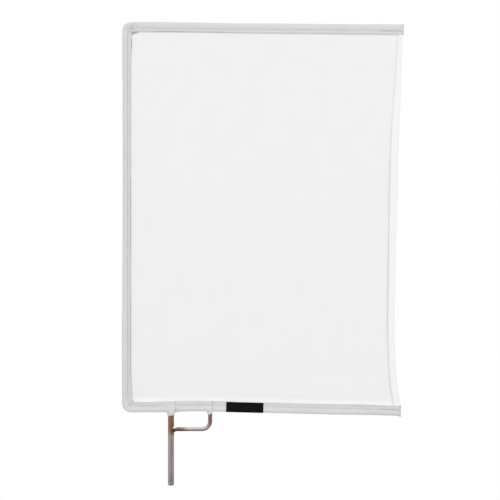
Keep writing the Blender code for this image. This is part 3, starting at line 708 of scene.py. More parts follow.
def cloth(name, nodes, grid, flat, place, material, thickness, offset=-1.0, closed=False):
    """A grid of cloth. place(u, v), both from 0 to 1, gives a point and how much painted shade and
    soiling darken it. flat is (length, width)."""
    bm = bmesh.new()
    bmesh.ops.create_grid(bm, x_segments=grid[0], y_segments=grid[1], size=0.5, calc_uvs=False)
    uv = bm.loops.layers.uv.new("flat")
    for face in bm.faces:
        for loop in face.loops:
            at = loop.vert.co
            loop[uv].uv = ((at.x + 0.5) * flat[0] * MM, (at.y + 0.5) * flat[1] * MM)
    shade_and_dust = bm.verts.layers.float.new("shade_and_dust")
    for vert in bm.verts:
        vert.co, vert[shade_and_dust] = place(vert.co.x + 0.5, vert.co.y + 0.5)
    if closed:
        bmesh.ops.remove_doubles(bm, verts=bm.verts, dist=MERGED)
    obj = piece(name, nodes, bm, material)
    solid = obj.modifiers.new("thickness", "SOLIDIFY")
    solid.thickness = thickness * MM
    solid.offset = offset
    solid.use_even_offset = True
    return obj


def skin_point(wrinkle, distance, i):
    """A wrinkled sleeve's point beside a distance along the line, the i-th of its section, and how
    much painted shade and soiling darken it."""
    depth, inward, out = SECTION[i]
    across = (i / (len(SECTION) - 1) - 0.5) * STRIP_WIDTH
    depth, inward, stand, shade_and_dust = wrinkle(distance, depth, inward, across)
    if inward < 0:
        stand = max(stand, -ROD_ROOM)
    at = sleeve_point(distance, inward + out[1] * stand)
    return Vector((at.x, depth + out[0] * stand, at.z)), shade_and_dust


def sleeve(name, nodes, start, end, spacing, wrinkle, material=sleeve_cloth, thickness=0.3):
    """A sleeve from start to end along the line. wrinkle(distance, depth, inward, across) gives the
    point's depth and place inwards again, how far it stands out from the section, and how much
    painted shade and soiling darken it."""
    rows = len(SECTION) - 1
    grid = (max(2, round((end - start) / spacing)), rows)

    def place(u, v):
        return skin_point(wrinkle, start + (end - start) * u, round(v * rows))

    return cloth(name, nodes, grid, (end - start, STRIP_WIDTH), place, material, thickness)


# %% [markdown]
# The cloth of a sleeve is never smooth. Sewing draws the leaves into fine puckers, the crease pulls
# in unevenly, and the tube is fuller here and slacker there. A bump map would leave the outline
# ruler straight, so these are added up as a small distance out from the section at each point. The
# crease and the leaf's edge are darker too, which is painted shade with some dust in it. In each
# sum below, bell(x, place, width) and smoothstep(x, from, to) say where something is, and the
# number before them says how much of it.

# %% How the sleeves are wrinkled
TOP_CLOTH_END = on_top(364.8)
OUTER_CLOTH_END = LINE_LENGTH + 7.8
UNDER_LIP = 1.0
PUCKER = 0.14


def leafness(inward):
    """0 on the tube and 1 on the leaves."""
    return smoothstep(inward, CREASE - 1.5, CREASE + 0.8)


def outer_half(inward):
    """1 on the tube's outer half, which makes the outline."""
    return smoothstep(-inward, 0.0, 3)


def settled(distance, depth, inward, across, seed, groove, full=0.2, crease=CREASE):
    """(depth, inward, stand, darkness) of a point on a sleeve with its everyday wrinkles. The
    darkness in the crease is painted shade.
    """
    leaf = leafness(inward)
    slack = full * (0.4 + ripple(distance, across * 1.5, 45, seed))
    slack += 0.10 * ripple(distance, across * 2, 14, seed + 1)
    slack += 0.55 * bell(inward, 3.9, 1.7)
    fine = PUCKER * ripple(distance, across * 0.5, 6.5, seed + 2)
    fine += PUCKER * 0.5 * ripple(distance, across, 3.2, seed + 3)
    pull = 0.75 + 0.5 * ripple(distance, 0.0, 22, seed + 4)
    stand = slack * (1 - leaf) + fine * (0.2 + leaf) - groove * pull * bell(inward, crease, 1.0)
    # The crease is darkened where it is pulled in: painted shade.
    return depth, inward, stand, groove * 0.5 * pull * bell(inward, crease, 0.9)


def edge_darkening(inward, strength):
    """Painted shadow along the last millimetre of a leaf, with some soiling."""
    return strength * smoothstep(inward, ARM_REACH - 1.5, ARM_REACH - 0.5)


def pressed(distance, depth, inward, stand, rod_end):
    """Past the rod's tip the sleeve is pressed flatter and spreads a little."""
    share = smoothstep(abs(distance - rod_end), 1.5, 6.5)
    flatter = max(-LEAF_HALF, min(LEAF_HALF, depth)) - depth
    spread = 0.7 * outer_half(inward)
    return depth + flatter * 0.75 * share, inward - spread * share, stand * (1 - 0.85 * share)


print("cloth ends at", round(TOP_CLOTH_END, 1), "and", round(OUTER_CLOTH_END, 1), "mm")

# %% [markdown]
# The top sleeve runs from the open end to the corner, where it is tucked under the side sleeve. Its
# leaf is wider there and turns down in a small flap, darkened by a painted shadow. It could be a
# piece of its own, but the sleeve's grid reaches it, so a wider leaf and the painted shadow are
# enough.

# %% Top sleeve
TUCKED_END = on_top(-66.0)


def top_wrinkle(distance, depth, inward, across):
    depth, inward, stand, shade_and_dust = settled(distance, depth, inward, across, 2, 0.10)
    x = START_X - distance
    stand += 0.45 * bell(x, 12, 45) * smoothstep(-inward, -2, 3)
    stand += (0.55 * smoothstep(x, 300, 325) - 0.45 * bell(x, 112, 38)) * outer_half(inward)
    tucked = smoothstep(x, -59.5, -61.8)
    stand -= 0.5 * tucked
    gather = bell(x, -60, 7)
    stand += 0.45 * gather * ripple(distance, across, 3.0, 9) * (1 - tucked)
    # Painted shade in the puckers gathered at the corner.
    shade_and_dust += 0.35 * gather * max(0, ripple(distance, across, 2.4, 10))
    # Painted shade in the crease near the open end.
    shade_and_dust += 0.30 * smoothstep(x, 326, 334) * bell(inward, CREASE, 0.8)
    # Painted shadow along the leaf's edge, with some dust, heavier in places.
    darkening = 0.16 + 0.14 * ripple(distance, 0.0, 35, 11)
    darkening += 0.30 * bell(x, 12, 42) + 0.32 * bell(x, -14, 16)
    shade_and_dust += edge_darkening(inward, darkening)
    # Painted shadow under the turned-down flap, and in a small fold by the corner.
    flap = smoothstep(x, -49, -54)
    shade_and_dust += 0.50 * flap * smoothstep(inward, ARM_REACH - 3.1, ARM_REACH - 1.9)
    shade_and_dust += 0.22 * bell(x, -57, 3.5) * bell(inward, 7.6, 0.8)
    if distance < 0:
        depth, inward, stand = pressed(distance, depth, inward, stand, 0.0)
    return depth, inward, stand, shade_and_dust


top_start = TOP_CLOTH_END + UNDER_LIP
top_cloth = sleeve("top_sleeve_cloth", ["top_sleeve"], top_start, TUCKED_END, 1.7, top_wrinkle)

# %% [markdown]
# The side sleeve turns both corners. At the top it ends in a cut edge over the top sleeve. At the
# bottom it runs on to the pin. Its slack there lies in a fold across the corner, and fine folds fan
# from the inner corner. Down the side the seam is sewn closer to the rod than on the arms. One
# strip does it all, since the line turns both corners by itself. Where the pin comes out, the strip
# swells over it.

# %% Side sleeve
PIN_SEAM = 7.0
PIN_SWELL = 6.3
BRACE_SWELL = 4.8
LOW_MID = (LOW_BEND_START + LOW_BEND_END) / 2
TOP_MID = (TOP_BEND_START + TOP_BEND_END) / 2
SIDE_END = on_bottom(PIN_SEAM + 1.5)


def tee_bulge(distance, inward):
    """How far the sleeves swell where the pin comes out of them."""
    beside = bell(distance, on_bottom(0), 11)
    return beside * (0.9 * bell(inward, 4.5, 3.0) + 0.5 * smoothstep(-inward, 0.0, 4))


def round_rod(distance, depth, inward, stand, x, radius):
    """The depth and stand of a sleeve's lower half where it goes over a rod that comes out at x."""
    beside = abs(distance - on_bottom(x))
    share = smoothstep(-inward, -0.5, 2.2) * smoothstep(beside, radius, 0.55 * radius)
    over = max(math.sqrt(max(radius**2 - beside**2, 0.0)), abs(depth))
    return depth + (math.copysign(over, depth) - depth) * share, stand * (1 - 0.85 * share)


def side_wrinkle(distance, depth, inward, across):
    low_corner = bell(distance, LOW_MID, 10)
    top_corner = bell(distance, TOP_MID, 9)
    straight = smoothstep(distance, TOP_BEND_END, TOP_BEND_END + 14)
    straight *= smoothstep(distance, LOW_BEND_START, LOW_BEND_START - 14)
    z = line_at(distance)[0].z
    slacker = smoothstep(z, 205, 165) * straight
    groove = (0.42 + 0.10 * straight) * (1 - top_corner) * (1 - bell(distance, on_bottom(0), 11))
    groove *= (1 - 0.5 * low_corner) * (1 - 0.45 * slacker)
    crease = CREASE + 3.6 * bell(distance, LOW_BEND_END + 1, 5)
    usual = settled(distance, depth, inward, across, 5, groove, crease=crease)
    depth, inward, stand, shade_and_dust = usual
    inward -= 1.6 * straight * smoothstep(inward, 0.5, 5.5) * smoothstep(inward, 12, 6.2)
    # A little darker low on the side, where the cloth is slacker.
    shade_and_dust += 0.04 * slacker
    fuller = 0.6 * bell(z, 205, 75) - 0.95 * bell(z, 475, 115) - 0.2 * bell(z, 610, 35)
    stand += fuller * outer_half(inward)
    lower = smoothstep(inward, -3, 0.5)
    stand += 0.45 * smoothstep(distance - SIDE_START, 4, 0.0) * lower
    # Painted shadow at the cut edge that lies over the top sleeve.
    shade_and_dust += 0.22 * smoothstep(distance - SIDE_START, 1.2, 0.0) * lower
    folds = ripple(distance, across * 0.25, 4.0, 13)
    stand += (0.6 * low_corner + 0.5 * top_corner) * folds * (0.4 + leafness(inward))
    # Painted shade in the folds' hollows at the corners.
    shade_and_dust += 0.20 * (low_corner + top_corner) * max(0, -folds)
    mitre = bell(distance, LOW_MID, 1.6) * smoothstep(inward, -3, 4)
    stand -= 0.35 * mitre
    # Painted shade in the mitre's fold.
    shade_and_dust += 0.12 * mitre
    # Painted shade in the crease near the bottom corner.
    shade_and_dust += 0.13 * bell(distance, on_bottom(-33), 20) * bell(inward, CREASE, 0.9)
    stand += tee_bulge(distance, inward)
    depth, stand = round_rod(distance, depth, inward, stand, 0.0, PIN_SWELL)
    # Painted shadow along the leaf's edge, with some dust, darkest in three stretches.
    if TOP_MID < distance < LOW_MID:
        darkening = 0.10 + 0.80 * bell(z, 695, 10)
        darkening += 0.50 * smoothstep(z, 350, 375) * smoothstep(z, 490, 465)
        darkening += 0.50 * smoothstep(z, 155, 180) * smoothstep(z, 300, 280)
        shade_and_dust += edge_darkening(inward, darkening)
    return depth, inward, stand, shade_and_dust


nodes = ["side_sleeve", "bottom_sleeve_inner"]
side_cloth = sleeve("side_sleeve_cloth", nodes, SIDE_START, SIDE_END, 1.6, side_wrinkle)

# %% [markdown]
# From the pin to the brace, and from the brace to the open end, the bottom sleeve is two more
# strips. Each one's turned edge lies over the end of the one before. They could be one strip with
# two creases, but real laps stand a little proud and cast a fine shade, so they are laps here too.

# %% Bottom sleeves
BRACE_X = 61.3
MIDDLE_START = on_bottom(PIN_SEAM)
MIDDLE_END = on_bottom(67.0)
OUTER_START = on_bottom(64.6)
LABEL_LENGTH = 58.4
LABEL_START = on_bottom(KINK_X) + 21.3
LABEL_END = LABEL_START + LABEL_LENGTH


def middle_wrinkle(distance, depth, inward, across):
    x = distance - on_bottom(0)
    groove = 0.62 * (1 - bell(x, 0, 9))
    usual = settled(distance, depth, inward, across, 21, groove, 0.1, CREASE + 0.5)
    depth, inward, stand, shade_and_dust = usual
    stand -= 0.75 * bell(x, 34, 18) * outer_half(inward)
    stand += 0.60 * smoothstep(x, 9.5, 7.0) - 0.5 * smoothstep(x, 62.0, 64.5)
    # Painted shade along the lap's edge, darkest at the leaf's edge and on the tube's outer side.
    spots = bell(inward, ARM_REACH, 1.6) + bell(inward, -1.5, 2.0)
    shade_and_dust += smoothstep(x, 8.4, 7.2) * (0.24 + 0.7 * min(spots, 1.0))
    stand += tee_bulge(distance, inward)
    depth, stand = round_rod(distance, depth, inward, stand, BRACE_X, BRACE_SWELL)
    return depth, inward, stand, shade_and_dust


def outer_wrinkle(distance, depth, inward, across):
    depth, inward, stand, shade_and_dust = settled(distance, depth, inward, across, 31, 0.36)
    x = distance - on_bottom(0)
    stand -= 0.65 * bell(x, 325, 45) * outer_half(inward)
    # A little darker towards the open end.
    shade_and_dust += 0.05 * smoothstep(x, 280, 310)
    over = smoothstep(x, 67.0, 64.6)
    stand += 0.25 * over
    # Painted shade along the lap over the middle sleeve, darkest at the leaf's edge.
    shade_and_dust += over * (0.10 + 0.85 * bell(inward, ARM_REACH, 2.2))
    calm = smoothstep(min(distance - LABEL_START, LABEL_END - distance), -7, 0.0)
    stand = stand * (1 - calm) - 0.15 * calm
    # Painted shadow along the leaf's edge, with some dust, heavier in places.
    darkening = 0.10 + 0.10 * ripple(distance, 0.0, 30, 33) + 0.28 * bell(x, 290, 26)
    shade_and_dust += edge_darkening(inward, darkening)
    # Painted shade in the crease near the open end.
    shade_and_dust += 0.24 * smoothstep(x, 326, 338) * bell(inward, CREASE, 0.8)
    if distance > LINE_LENGTH:
        depth, inward, stand = pressed(distance, depth, inward, stand, LINE_LENGTH)
    return depth, inward, stand, shade_and_dust


nodes = ["bottom_sleeve_middle"]
middle_cloth = sleeve(
    "middle_sleeve_cloth", nodes, MIDDLE_START, MIDDLE_END, 1.2, middle_wrinkle
)
nodes = ["bottom_sleeve_outer"]
outer_end = OUTER_CLOTH_END - UNDER_LIP
outer_cloth = sleeve("outer_sleeve_cloth", nodes, OUTER_START, outer_end, 1.6, outer_wrinkle)

# %% [markdown]
# The silk's fourth edge has no rod. The hem's thread draws it in, in a slow uneven curve. A
# circle's arc would be too regular, so a smooth curve goes through a few places, which are the
# solids' own.

# %% The free edge
LEAF_LINE = 12.7
HEM_WIDTHS = (
    (0, 12.1),
    (0.14, 11.7),
    (0.4, 12.1),
    (0.55, 13.8),
    (0.72, 13.1),
    (0.77, 12.2),
    (0.85, 11.0),
    (1, 7.4),
)
SAG = ((0, 0), (0.07, 6.6), (0.2, 10.2), (0.38, 9.2), (0.55, 6.6), (0.74, 4.6), (0.86, 1.6), (1, 0))
HIGH_X = 362.2
LOW_X = 359.9


def free_edge(share):
    """(sag, hem width) at a share of the way up, on a smooth curve through SAG."""
    last = len(SAG) - 1
    i = max(k for k in range(last) if SAG[k][0] <= max(share, 0))
    before, start, end, after = SAG[max(i - 1, 0)], SAG[i], SAG[i + 1], SAG[min(i + 2, last)]
    span = end[0] - start[0]
    t = min(max((share - start[0]) / span, 0), 1)
    first = (end[1] - before[1]) / (end[0] - before[0]) * span
    second = (after[1] - start[1]) / (after[0] - start[0]) * span
    sag = (2 * t**3 - 3 * t**2 + 1) * start[1] + (t**3 - 2 * t**2 + t) * first
    sag += (3 * t**2 - 2 * t**3) * end[1] + (t**3 - t**2) * second
    j = max(k for k in range(len(HEM_WIDTHS) - 1) if HEM_WIDTHS[k][0] <= max(share, 0))
    (low, narrow), (high, wide) = HEM_WIDTHS[j], HEM_WIDTHS[j + 1]
    return sag, narrow + (wide - narrow) * min((share - low) / (high - low), 1)


def heights_at(x, inset):
    """The heights at x of the two lines that lie inset inside the rod's centre, low and high."""
    heights = []
    for distance in (on_bottom(x), on_top(x)):
        point, way, inward = line_at(distance)
        point = point + inward * inset
        heights.append(point.z + way.z / way.x * (x - point.x))
    return heights


def open_end_point(share, inward):
    """A point in the flag's plane inward from the free edge, at a share of the way up."""
    x = LOW_X + (HIGH_X - LOW_X) * share - free_edge(share)[0] - inward
    low, high = heights_at(x, LEAF_LINE)
    return Vector((x, 0, low + (high - low) * share))


print("free edge at mid height", [round(c, 1) for c in open_end_point(0.5, 0)])

# %% [markdown]
# The silk is cut to the frame and held at three edges between the leaves. One flat rectangle would
# do from afar, but stretched silk gives by a fraction of a millimetre, which shows when light skims
# it. So it is a grid from side to side and from bottom to top. Its colour is dimmed a little all
# over, except for a lighter band along the bottom sleeve, which is a painted highlight.

# %% Silk panel
SILK_GRID = (108, 148)
SILK_SIZE = (425, 586)
SILK_THICKNESS = 0.14
SILK_INSET = 8.6
SILK_LEFT = SIDE_X + 7.4
SILK_UNDER_HEM = 0.9


def silk_place(u, v):
    x = SILK_LEFT + (open_end_point(v, SILK_UNDER_HEM).x - SILK_LEFT) * u
    low, high = heights_at(x, SILK_INSET)
    up = (high - low) * v
    give = 0.30 * ripple(x, low + up, 70, 41) + 0.12 * ripple(x, v / MM, 24, 42)
    held = min(u * 8, v * 8, (1 - v) * 8, 1.0)
    # Dimmed a little, except in a painted lighter band along the bottom sleeve.
    return Vector((x, -give * held, low + up)), 0.10 - 0.10 * smoothstep(up, 10.5, 6.0)


look = (silk_cloth, SILK_THICKNESS)
silk = cloth("silk_cloth", ["silk_panel"], SILK_GRID, SILK_SIZE, silk_place, *look, offset=0.0)

# %% [markdown]
# The free edge is turned over and sewn, so the hem is a U of silk round the panel's edge. A thicker
# strip would look like card, so the grid goes down one side, round the fold and up the other. The
# row of stitches near its inner edge sinks in and puckers it. Its ends are tucked 3 mm between the
# leaves.

# %% Free edge hem
STITCH_IN = 1.2
HEM_GRID = (230, 44)
HEM_SIZE = (584, 26.5)
HEM_THICKNESS = 0.16
HEM_TUCK = 0.0055
HEM_FOLD = 0.55
EDGE_LENGTH = 586


def hem_place(u, v):
    u = -HEM_TUCK + (1 + 2 * HEM_TUCK) * u
    _, width = free_edge(u)
    leaf = width - HEM_FOLD
    flat = 2 * leaf + math.pi * HEM_FOLD
    run = v * flat
    if run < leaf:
        inward, depth, front = width - run, HEM_FOLD, 1
    elif run > flat - leaf:
        inward, depth, front = width - (flat - run), -HEM_FOLD, -1
    else:
        around = (run - leaf) / HEM_FOLD
        inward, depth, front = HEM_FOLD * (1 - math.sin(around)), HEM_FOLD * math.cos(around), 0
    along = u * EDGE_LENGTH
    belly = 0.20 * math.sin(math.pi * min(max(inward / width, 0), 1))
    sunk = 0.36 * bell(inward, width - STITCH_IN, 0.8)
    pucker = 0.14 * ripple(along, inward * 0.5, 6, 51) * smoothstep(inward, 1, width)
    depth += front * (belly - sunk + pucker)
    point = open_end_point(u, inward + 0.12 * ripple(along, 0, 30, 52))
    # The line by the stitches is darkened: painted shade with some dust, heavier in places, less up
    # top.
    darkening = 0.24 + 0.22 * bell(u, 0.34, 0.24) + 0.08 * bell(u, 0.22, 0.09)
    darkening += 0.08 * ripple(along, 0, 40, 53) - 0.16 * smoothstep(u, 0.70, 0.82)
    return Vector((point.x, -depth, point.z)), darkening * bell(inward, width - STITCH_IN, 0.7)


look = (hem_cloth, HEM_THICKNESS)
hem = cloth("free_edge_hem_cloth", ["free_edge_hem"], HEM_GRID, HEM_SIZE, hem_place, *look)

# %% [markdown]
# A plain label of black woven tape is folded round the bottom sleeve and sewn down at both ends. It
# lies on the sleeve, so it is a short sleeve itself, standing out by its own thickness and drawn
# down where it is sewn.

# %% Label


def label_wrinkle(distance, depth, inward, across):
    edge = min(distance - LABEL_START, LABEL_END - distance)
    stand = 0.45 + 0.10 * ripple(distance, across, 16, 61)
    stand -= 0.22 * smoothstep(1.5 - edge, 0.0, 1.5) + 0.18 * bell(inward, CREASE, 1.2)
    return depth, inward, stand, 0.0


label = sleeve(
    "label_tape", ["sewn_label"], LABEL_START, LABEL_END, 0.9, label_wrinkle, label_cloth
)

# %% [markdown]
# Past the rod's tip each sleeve's end is turned in and sewn, a flat lip a little thicker than the
# sleeve. The sleeve's own grid would need many more points to turn in so sharply. The lip is a
# piece of its own that goes round the end as the sleeve does, with the same section, pressed flat.

# %% End hems
LIP = 2.2
LIP_THICKNESS = 0.8
LIP_SPACING = 0.28


def end_hem(name, node, start, rod_end):
    def lip(distance, depth, inward, across):
        depth, inward, _ = pressed(distance, depth, inward, 0.0, rod_end)
        inward += 0.9 * smoothstep(inward, ARM_REACH - 2, ARM_REACH)
        beyond = abs(distance - rod_end)
        fold = smoothstep(beyond, 6.3, 5.6)
        stand = 0.42 - 0.34 * smoothstep(beyond, 6.8, 7.8) - 0.32 * fold
        # The lip is darkened, most at its fold: painted shade.
        return depth, inward, stand + 0.1 * ripple(distance, across, 4, 71), 0.10 + 0.28 * fold

    return sleeve(name, [node], start, start + LIP, LIP_SPACING, lip, thickness=LIP_THICKNESS)


top_lip = end_hem("top_end_lip", "top_end_hem", TOP_CLOTH_END, 0.0)
low_lip = end_hem("bottom_end_lip", "bottom_end_hem", OUTER_CLOTH_END - LIP, LINE_LENGTH)

# %% [markdown]
# Where the pin and the brace come out, the sleeve's cloth is gathered down round them as a short
# cuff with a ragged lower edge. A hole cut in the sleeve would have to be joined to it point by
# point. A cone of cloth that runs up inside the sleeve looks the same, with folds that grow towards
# the sleeve.

# %% Cuffs
CUFF_GRID = (96, 14)
CUFF_THICKNESS = 0.4


def cuff(node, x, heights, radii, folds, slant, seed):
    """Gathered cloth round a rod at x, between two heights. Its radii are its grip at the lower
    edge, then its mouth at the sides and its belly in front and behind. slant lifts its right
    side."""
    low, high = heights
    grip, mouth, belly = radii

    def place(u, v):
        turn = 2 * math.pi * (u % 1.0)
        way = Vector((math.cos(turn), math.sin(turn), 0))
        ragged = 0.35 * noise.noise(Vector((way.x * 3, way.y * 3, seed)))
        bottom = low + slant * (0.5 + 0.5 * way.x) + ragged
        flare = smoothstep(v, 0.0, 0.8)
        gather = math.sin(folds * turn + 2.0 * noise.noise(Vector((way.x, way.y, seed + 1))))
        radius = grip + (mouth - grip) * flare
        radius += 0.8 * max(0, -way.x) ** 2 * smoothstep(v, 0.1, 0.9)
        radius += (0.08 + 0.20 * flare) * gather * (1 - 0.4 * v)
        facing = way.y**2
        radius += (belly - radius) * smoothstep(v, 0.1, 0.5) * facing
        radius -= 0.27 * belly * smoothstep(v, 0.7, 1.0) * facing
        # Painted shade in the hollows of the gathers and along the lower edge.
        shade_and_dust = 0.10 * max(0, -gather) * flare + 0.12 * smoothstep(v, 0.12, 0.0)
        return Vector((x, 0, bottom + (high - bottom) * v)) + way * radius, shade_and_dust

    name = f"{node}_cloth"
    flat = (2 * math.pi * mouth, high - low)
    look = (sleeve_cloth, CUFF_THICKNESS)
    return cloth(name, [node], CUFF_GRID, flat, place, *look, closed=True)


pin_cuff = cuff("pin_cuff", 0.0, (108.7, 119.4), (5.25, 6.6, 6.35), 9, 1.7, 81)
brace_cuff = cuff("brace_cuff", BRACE_X, (110.1, 121.4), (3.6, 5.4, 4.75), 7, 3.0, 85)

# %% [markdown]
# The pin is a 3/8 inch bar with its lower edge rounded off. The solid has few sides, and their
# edges would show in its gloss, so it is turned again as on a lathe: half its profile is drawn from
# axis to axis and spun about it. One ring more just above the rounding keeps the wall's shade even.

# %% Pin
ROUND_STEPS = 64
END_ROUND = 2.4
END_RISE = 1.3
END_STEPS = 6
END_FULLER = 0.15
ROD_GAP = 0.3


def spun(profile):
    """A solid of revolution about Z from (radius, height) points that start and end on the axis."""
    bm = bmesh.new()
    verts = [bm.verts.new((radius, 0, height)) for radius, height in profile]
    edges = [bm.edges.new(pair) for pair in zip(verts, verts[1:])]
    bmesh.ops.spin(
        bm,
        geom=verts + edges,
        cent=(0, 0, 0),
        axis=(0, 0, 1),
        angle=2 * math.pi,
        steps=ROUND_STEPS,
        use_merge=True,
    )
    bmesh.ops.remove_doubles(bm, verts=bm.verts, dist=0.002)
    bmesh.ops.recalc_face_normals(bm, faces=bm.faces)
    return bm


pin_top = PIN_REACH - ROD_RADIUS - ROD_GAP
flat_end = PIN_RADIUS - END_ROUND
profile = [(0, 0), (flat_end, 0)]
for i in range(END_STEPS + 1):
    share = i / END_STEPS
    fuller = END_FULLER * math.sin(math.pi * share)
    profile.append((flat_end + END_ROUND * share * (1 + fuller), END_RISE * share * (1 - fuller)))
profile += [(PIN_RADIUS, END_RISE + 1.5), (PIN_RADIUS, pin_top), (0, pin_top)]
pin = piece("round_pin", ["mounting_pin"], spun(profile), pin_steel)
pin.data.set_sharp_from_angle(angle=math.radians(40))

# %% [markdown]
# The brace is a thinner bar, bent once, from the pin up to the bottom arm. A curve with a bevel
# would do, but the bend has one radius, so a circle is extruded along the straights and spun round
# the bend. That keeps its rings square to the bar.

# %% Brace
BRACE_HEIGHT = 88.4
BRACE_BEND = 12.5
BRACE_FOOT = 4.0
RING_SPACING = 4
RING_POINTS = 48
BEND_STEPS = 20


def swept_rod(radius, start, runs):
    """A round bar in the XZ plane from start: each run is a length, then a bend."""
    bm = bmesh.new()
    angle = 0.0
    point = start
    upright = heading_way(angle).to_track_quat("Z", "Y").to_matrix().to_4x4()
    place = Matrix.Translation(point) @ upright
    bmesh.ops.create_circle(
        bm, cap_ends=True, radius=radius, segments=RING_POINTS, matrix=place
    )
    ring = list(bm.edges)
    for length, bend, turn in runs:
        pieces = max(1, round(length / RING_SPACING))
        for _ in range(pieces):
            grown = bmesh.ops.extrude_edge_only(bm, edges=ring)["geom"]
            fresh = {v for v in grown if isinstance(v, bmesh.types.BMVert)}
            bmesh.ops.translate(bm, verts=list(fresh), vec=heading_way(angle) * (length / pieces))
            ring = [e for e in bm.edges if fresh.issuperset(e.verts)]
        point = point + heading_way(angle) * length
        if turn:
            cent = point + inward_way(angle) * bend
            bent = bmesh.ops.spin(
                bm, geom=ring, cent=cent, axis=(0, -1, 0), angle=turn, steps=BEND_STEPS
            )
            ring = [e for e in bent["geom_last"] if isinstance(e, bmesh.types.BMEdge)]
            angle += turn
            point = cent - inward_way(angle) * bend
    bmesh.ops.edgeloop_fill(bm, edges=ring)
    bmesh.ops.recalc_face_normals(bm, faces=bm.faces)
    return bm


rise = line_at(on_bottom(BRACE_X))[0].z - ROD_RADIUS - ROD_GAP - BRACE_HEIGHT
brace_runs = (
    (BRACE_X - BRACE_BEND - BRACE_FOOT, BRACE_BEND, math.pi / 2),
    (rise - BRACE_BEND, 0, 0),
)
bar = swept_rod(ROD_RADIUS, Vector((BRACE_FOOT, 0, BRACE_HEIGHT)), brace_runs)
brace = piece("round_brace", ["brace_rod"], bar, brace_steel)

# %% [markdown]
# The brace is brazed to the pin with a hollow fillet. Round the brace it climbs from the pin's
# surface to the brace's own, a little lumpy, and it is thin at the sides where the pin falls away.
# A bevel between two joined bars gives an even, round fillet. Molten bronze doesn't set so evenly,
# so a grid is laid round the brace by a function.

# %% Brazed fillet
LEG = 3.6
SIDE_LEG = 1.1
RUN = 4.6
SUNK = 0.3


def braze_place(u, v):
    turn = 2 * math.pi * (u % 1.0)
    upright = abs(math.cos(turn))
    leg = SIDE_LEG + (LEG - SIDE_LEG) * upright**2
    lumps = 1 + 0.10 * ripple(math.cos(turn), math.sin(turn) + v * 2, 0.8, 91)
    swell = (1 - math.sqrt(1 - (1 - v) ** 2)) * lumps
    out = ROD_RADIUS + 0.35 * (1 - v) + (leg - 0.35) * swell
    y = out * math.sin(turn)
    on_pin = math.sqrt(PIN_RADIUS**2 - min(abs(y), PIN_RADIUS * 0.98) ** 2)
    x = on_pin - SUNK + (RUN * (0.8 + 0.2 * upright) + SUNK) * v
    return Vector((x, y, BRACE_HEIGHT + out * math.cos(turn)))


bm = bmesh.new()
bmesh.ops.create_grid(bm, x_segments=64, y_segments=12, size=0.5)
for vert in bm.verts:
    vert.co = braze_place(vert.co.x + 0.5, vert.co.y + 0.5)
bmesh.ops.remove_doubles(bm, verts=bm.verts, dist=MERGED)
bmesh.ops.holes_fill(bm, edges=[e for e in bm.edges if e.is_boundary], sides=0)
bmesh.ops.recalc_face_normals(bm, faces=bm.faces)
piece("brazed_fillet", ["brace_to_pin_braze"], bm, braze_bronze)

# %% [markdown]
# Each seam is a row of short stitches, sunk into the cloth. Bumps in the material would vanish from
# the exported mesh, so they are modelled. One stitch is a small ball drawn out to a grain of rice,
# with few faces, because every row is one mesh of hundreds.

# %% Rows of stitches
PITCH = 3.0
STITCH = (2.2, 0.42, 0.34)
SEAM_IN = ARM_REACH - 1.9
HEM_ROW_LENGTH = 580

bm = bmesh.new()
bm.loops.layers.uv.new("flat")
bmesh.ops.create_uvsphere(bm, u_segments=8, v_segments=5, radius=0.5, calc_uvs=True)
bmesh.ops.scale(bm, verts=bm.verts, vec=STITCH)
one_stitch = bpy.data.meshes.new("one_stitch")
bm.to_mesh(one_stitch)
bm.free()


def stitch_row(name, nodes, places, material=thread_cloth):
    """One mesh of many stitches. places are (point, way along, way out)."""
    bm = bmesh.new()
    for point, way, out in places:
        turned = Matrix((way, out.cross(way), out)).transposed().to_4x4()
        turned.translation = point
        grain = one_stitch.copy()
        grain.transform(turned)
        bm.from_mesh(grain)
        bpy.data.meshes.remove(grain)
    return piece(name, nodes, bm, material)


def along_row(path, length, stand, seed):
    """Places for stitches on both faces, along a path(distance) in the flag's plane."""
    count = max(1, int(length / PITCH))
    places = []
    for side in (-1, 1):
        out = Vector((0, side, 0))
        for i in range(count):
            at = length * (i + 0.5) / count
            way = (path(at + 0.5) - path(at - 0.5)).normalized()
            lean = 0.10 * noise.noise(Vector((i * 1.7, side, seed)))
            way = (way + way.cross(out) * lean).normalized()
            places.append((path(at) + out * stand, way, out))
    return places


def across_row(wrinkle, distance):
    """Places for stitches round a sleeve, on its own wrinkled surface."""
    points = [skin_point(wrinkle, distance, i)[0] for i in range(len(SECTION))]
    ahead = line_at(distance)[1]
    places = []
    for i in range(2, len(points) - 2, 4):
        way = (points[i + 1] - points[i - 1]).normalized()
        places.append((points[i], way, ahead.cross(way).normalized()))
    return places


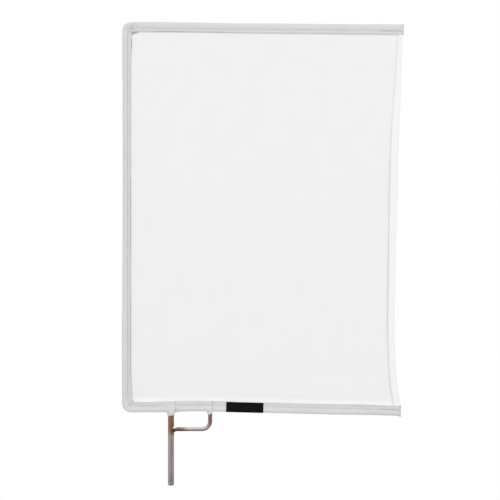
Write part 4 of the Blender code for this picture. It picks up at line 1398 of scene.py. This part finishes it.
top_end_row = across_row(top_wrinkle, on_top(359.6))
outer_end_row = across_row(outer_wrinkle, OUTER_CLOTH_END - 4.6)
SEAMS = (
    ("top", "top", on_top(360), on_top(-60), top_end_row),
    ("side", "side", TOP_FAN[1] - 4, LOW_FAN[0] + 4, []),
    ("bottom", "bottom", on_bottom(-60), on_bottom(64), []),
    ("label_side", "label", on_bottom(66), LABEL_START - 1, []),
    ("outer", "outer", LABEL_END + 1, OUTER_CLOTH_END - 5, outer_end_row),
)
for seed, (name, seam, start, end, end_row) in enumerate(SEAMS):

    def seam_path(distance):
        return sleeve_point(start + distance, SEAM_IN)

    places = along_row(seam_path, end - start, LEAF_HALF + 0.02, seed)
    stitch_row(f"{name}_stitches", [f"{seam}_seam_thread"], places + end_row)


def hem_path(distance):
    share = 0.01 + 0.98 * distance / HEM_ROW_LENGTH
    return open_end_point(share, free_edge(share)[1] - STITCH_IN)


stitch_row("hem_stitches", ["hem_thread"], along_row(hem_path, HEM_ROW_LENGTH, 0.42, 9))
tape_ends = across_row(label_wrinkle, LABEL_START + 1.6)
tape_ends += across_row(label_wrinkle, LABEL_END - 1.6)
tape_stitches = stitch_row("label_end_stitches", [], tape_ends, label_cloth)

# %% [markdown]
# The rod and its two other brazed joints are shut in the cloth. Nobody sees them until a sleeve is
# unpicked, so they aren't made again. They keep the solids' shapes and get their metals.

# %% Metals for the hidden solids
for node, material in (
    ("frame_rod", hidden_steel),
    ("pin_to_arm_braze", braze_bronze),
    ("brace_to_arm_braze", braze_bronze),
):
    solid = bpy.data.objects[node]
    solid.data.materials.clear()
    solid.data.materials.append(material)
    print(node, "is", material.name)

# %% [markdown]
# The size that each cloth was cut to before it was sewn is listed and printed. The sleeves' sizes
# are measured on the line, and the others on their grids.

# %% Flat sizes
ON_ROD = ("stretched", ["frame_rod"])
SHEETS = (
    (top_cloth, STRIP_WIDTH, TUCKED_END - TOP_CLOTH_END, *ON_ROD, [top_lip]),
    (side_cloth, STRIP_WIDTH, SIDE_END - SIDE_START, *ON_ROD, []),
    (middle_cloth, STRIP_WIDTH, 60, *ON_ROD, []),
    (outer_cloth, STRIP_WIDTH, OUTER_CLOTH_END - OUTER_START, *ON_ROD, [low_lip]),
    (label, STRIP_WIDTH, LABEL_LENGTH, "folded", [outer_cloth], [tape_stitches]),
    (silk, 426, EDGE_LENGTH, "stretched", [top_cloth, side_cloth, outer_cloth], []),
    (hem, 26.5, EDGE_LENGTH, "folded", [silk], []),
    (pin_cuff, 41, 10.5, "gathered", [pin], []),
    (brace_cuff, 33, 10.5, "gathered", [brace], []),
)
for obj, width, length, held, under, upon in SHEETS:
    print(obj.name, "is cut to", round(width), "by", round(length), "mm")
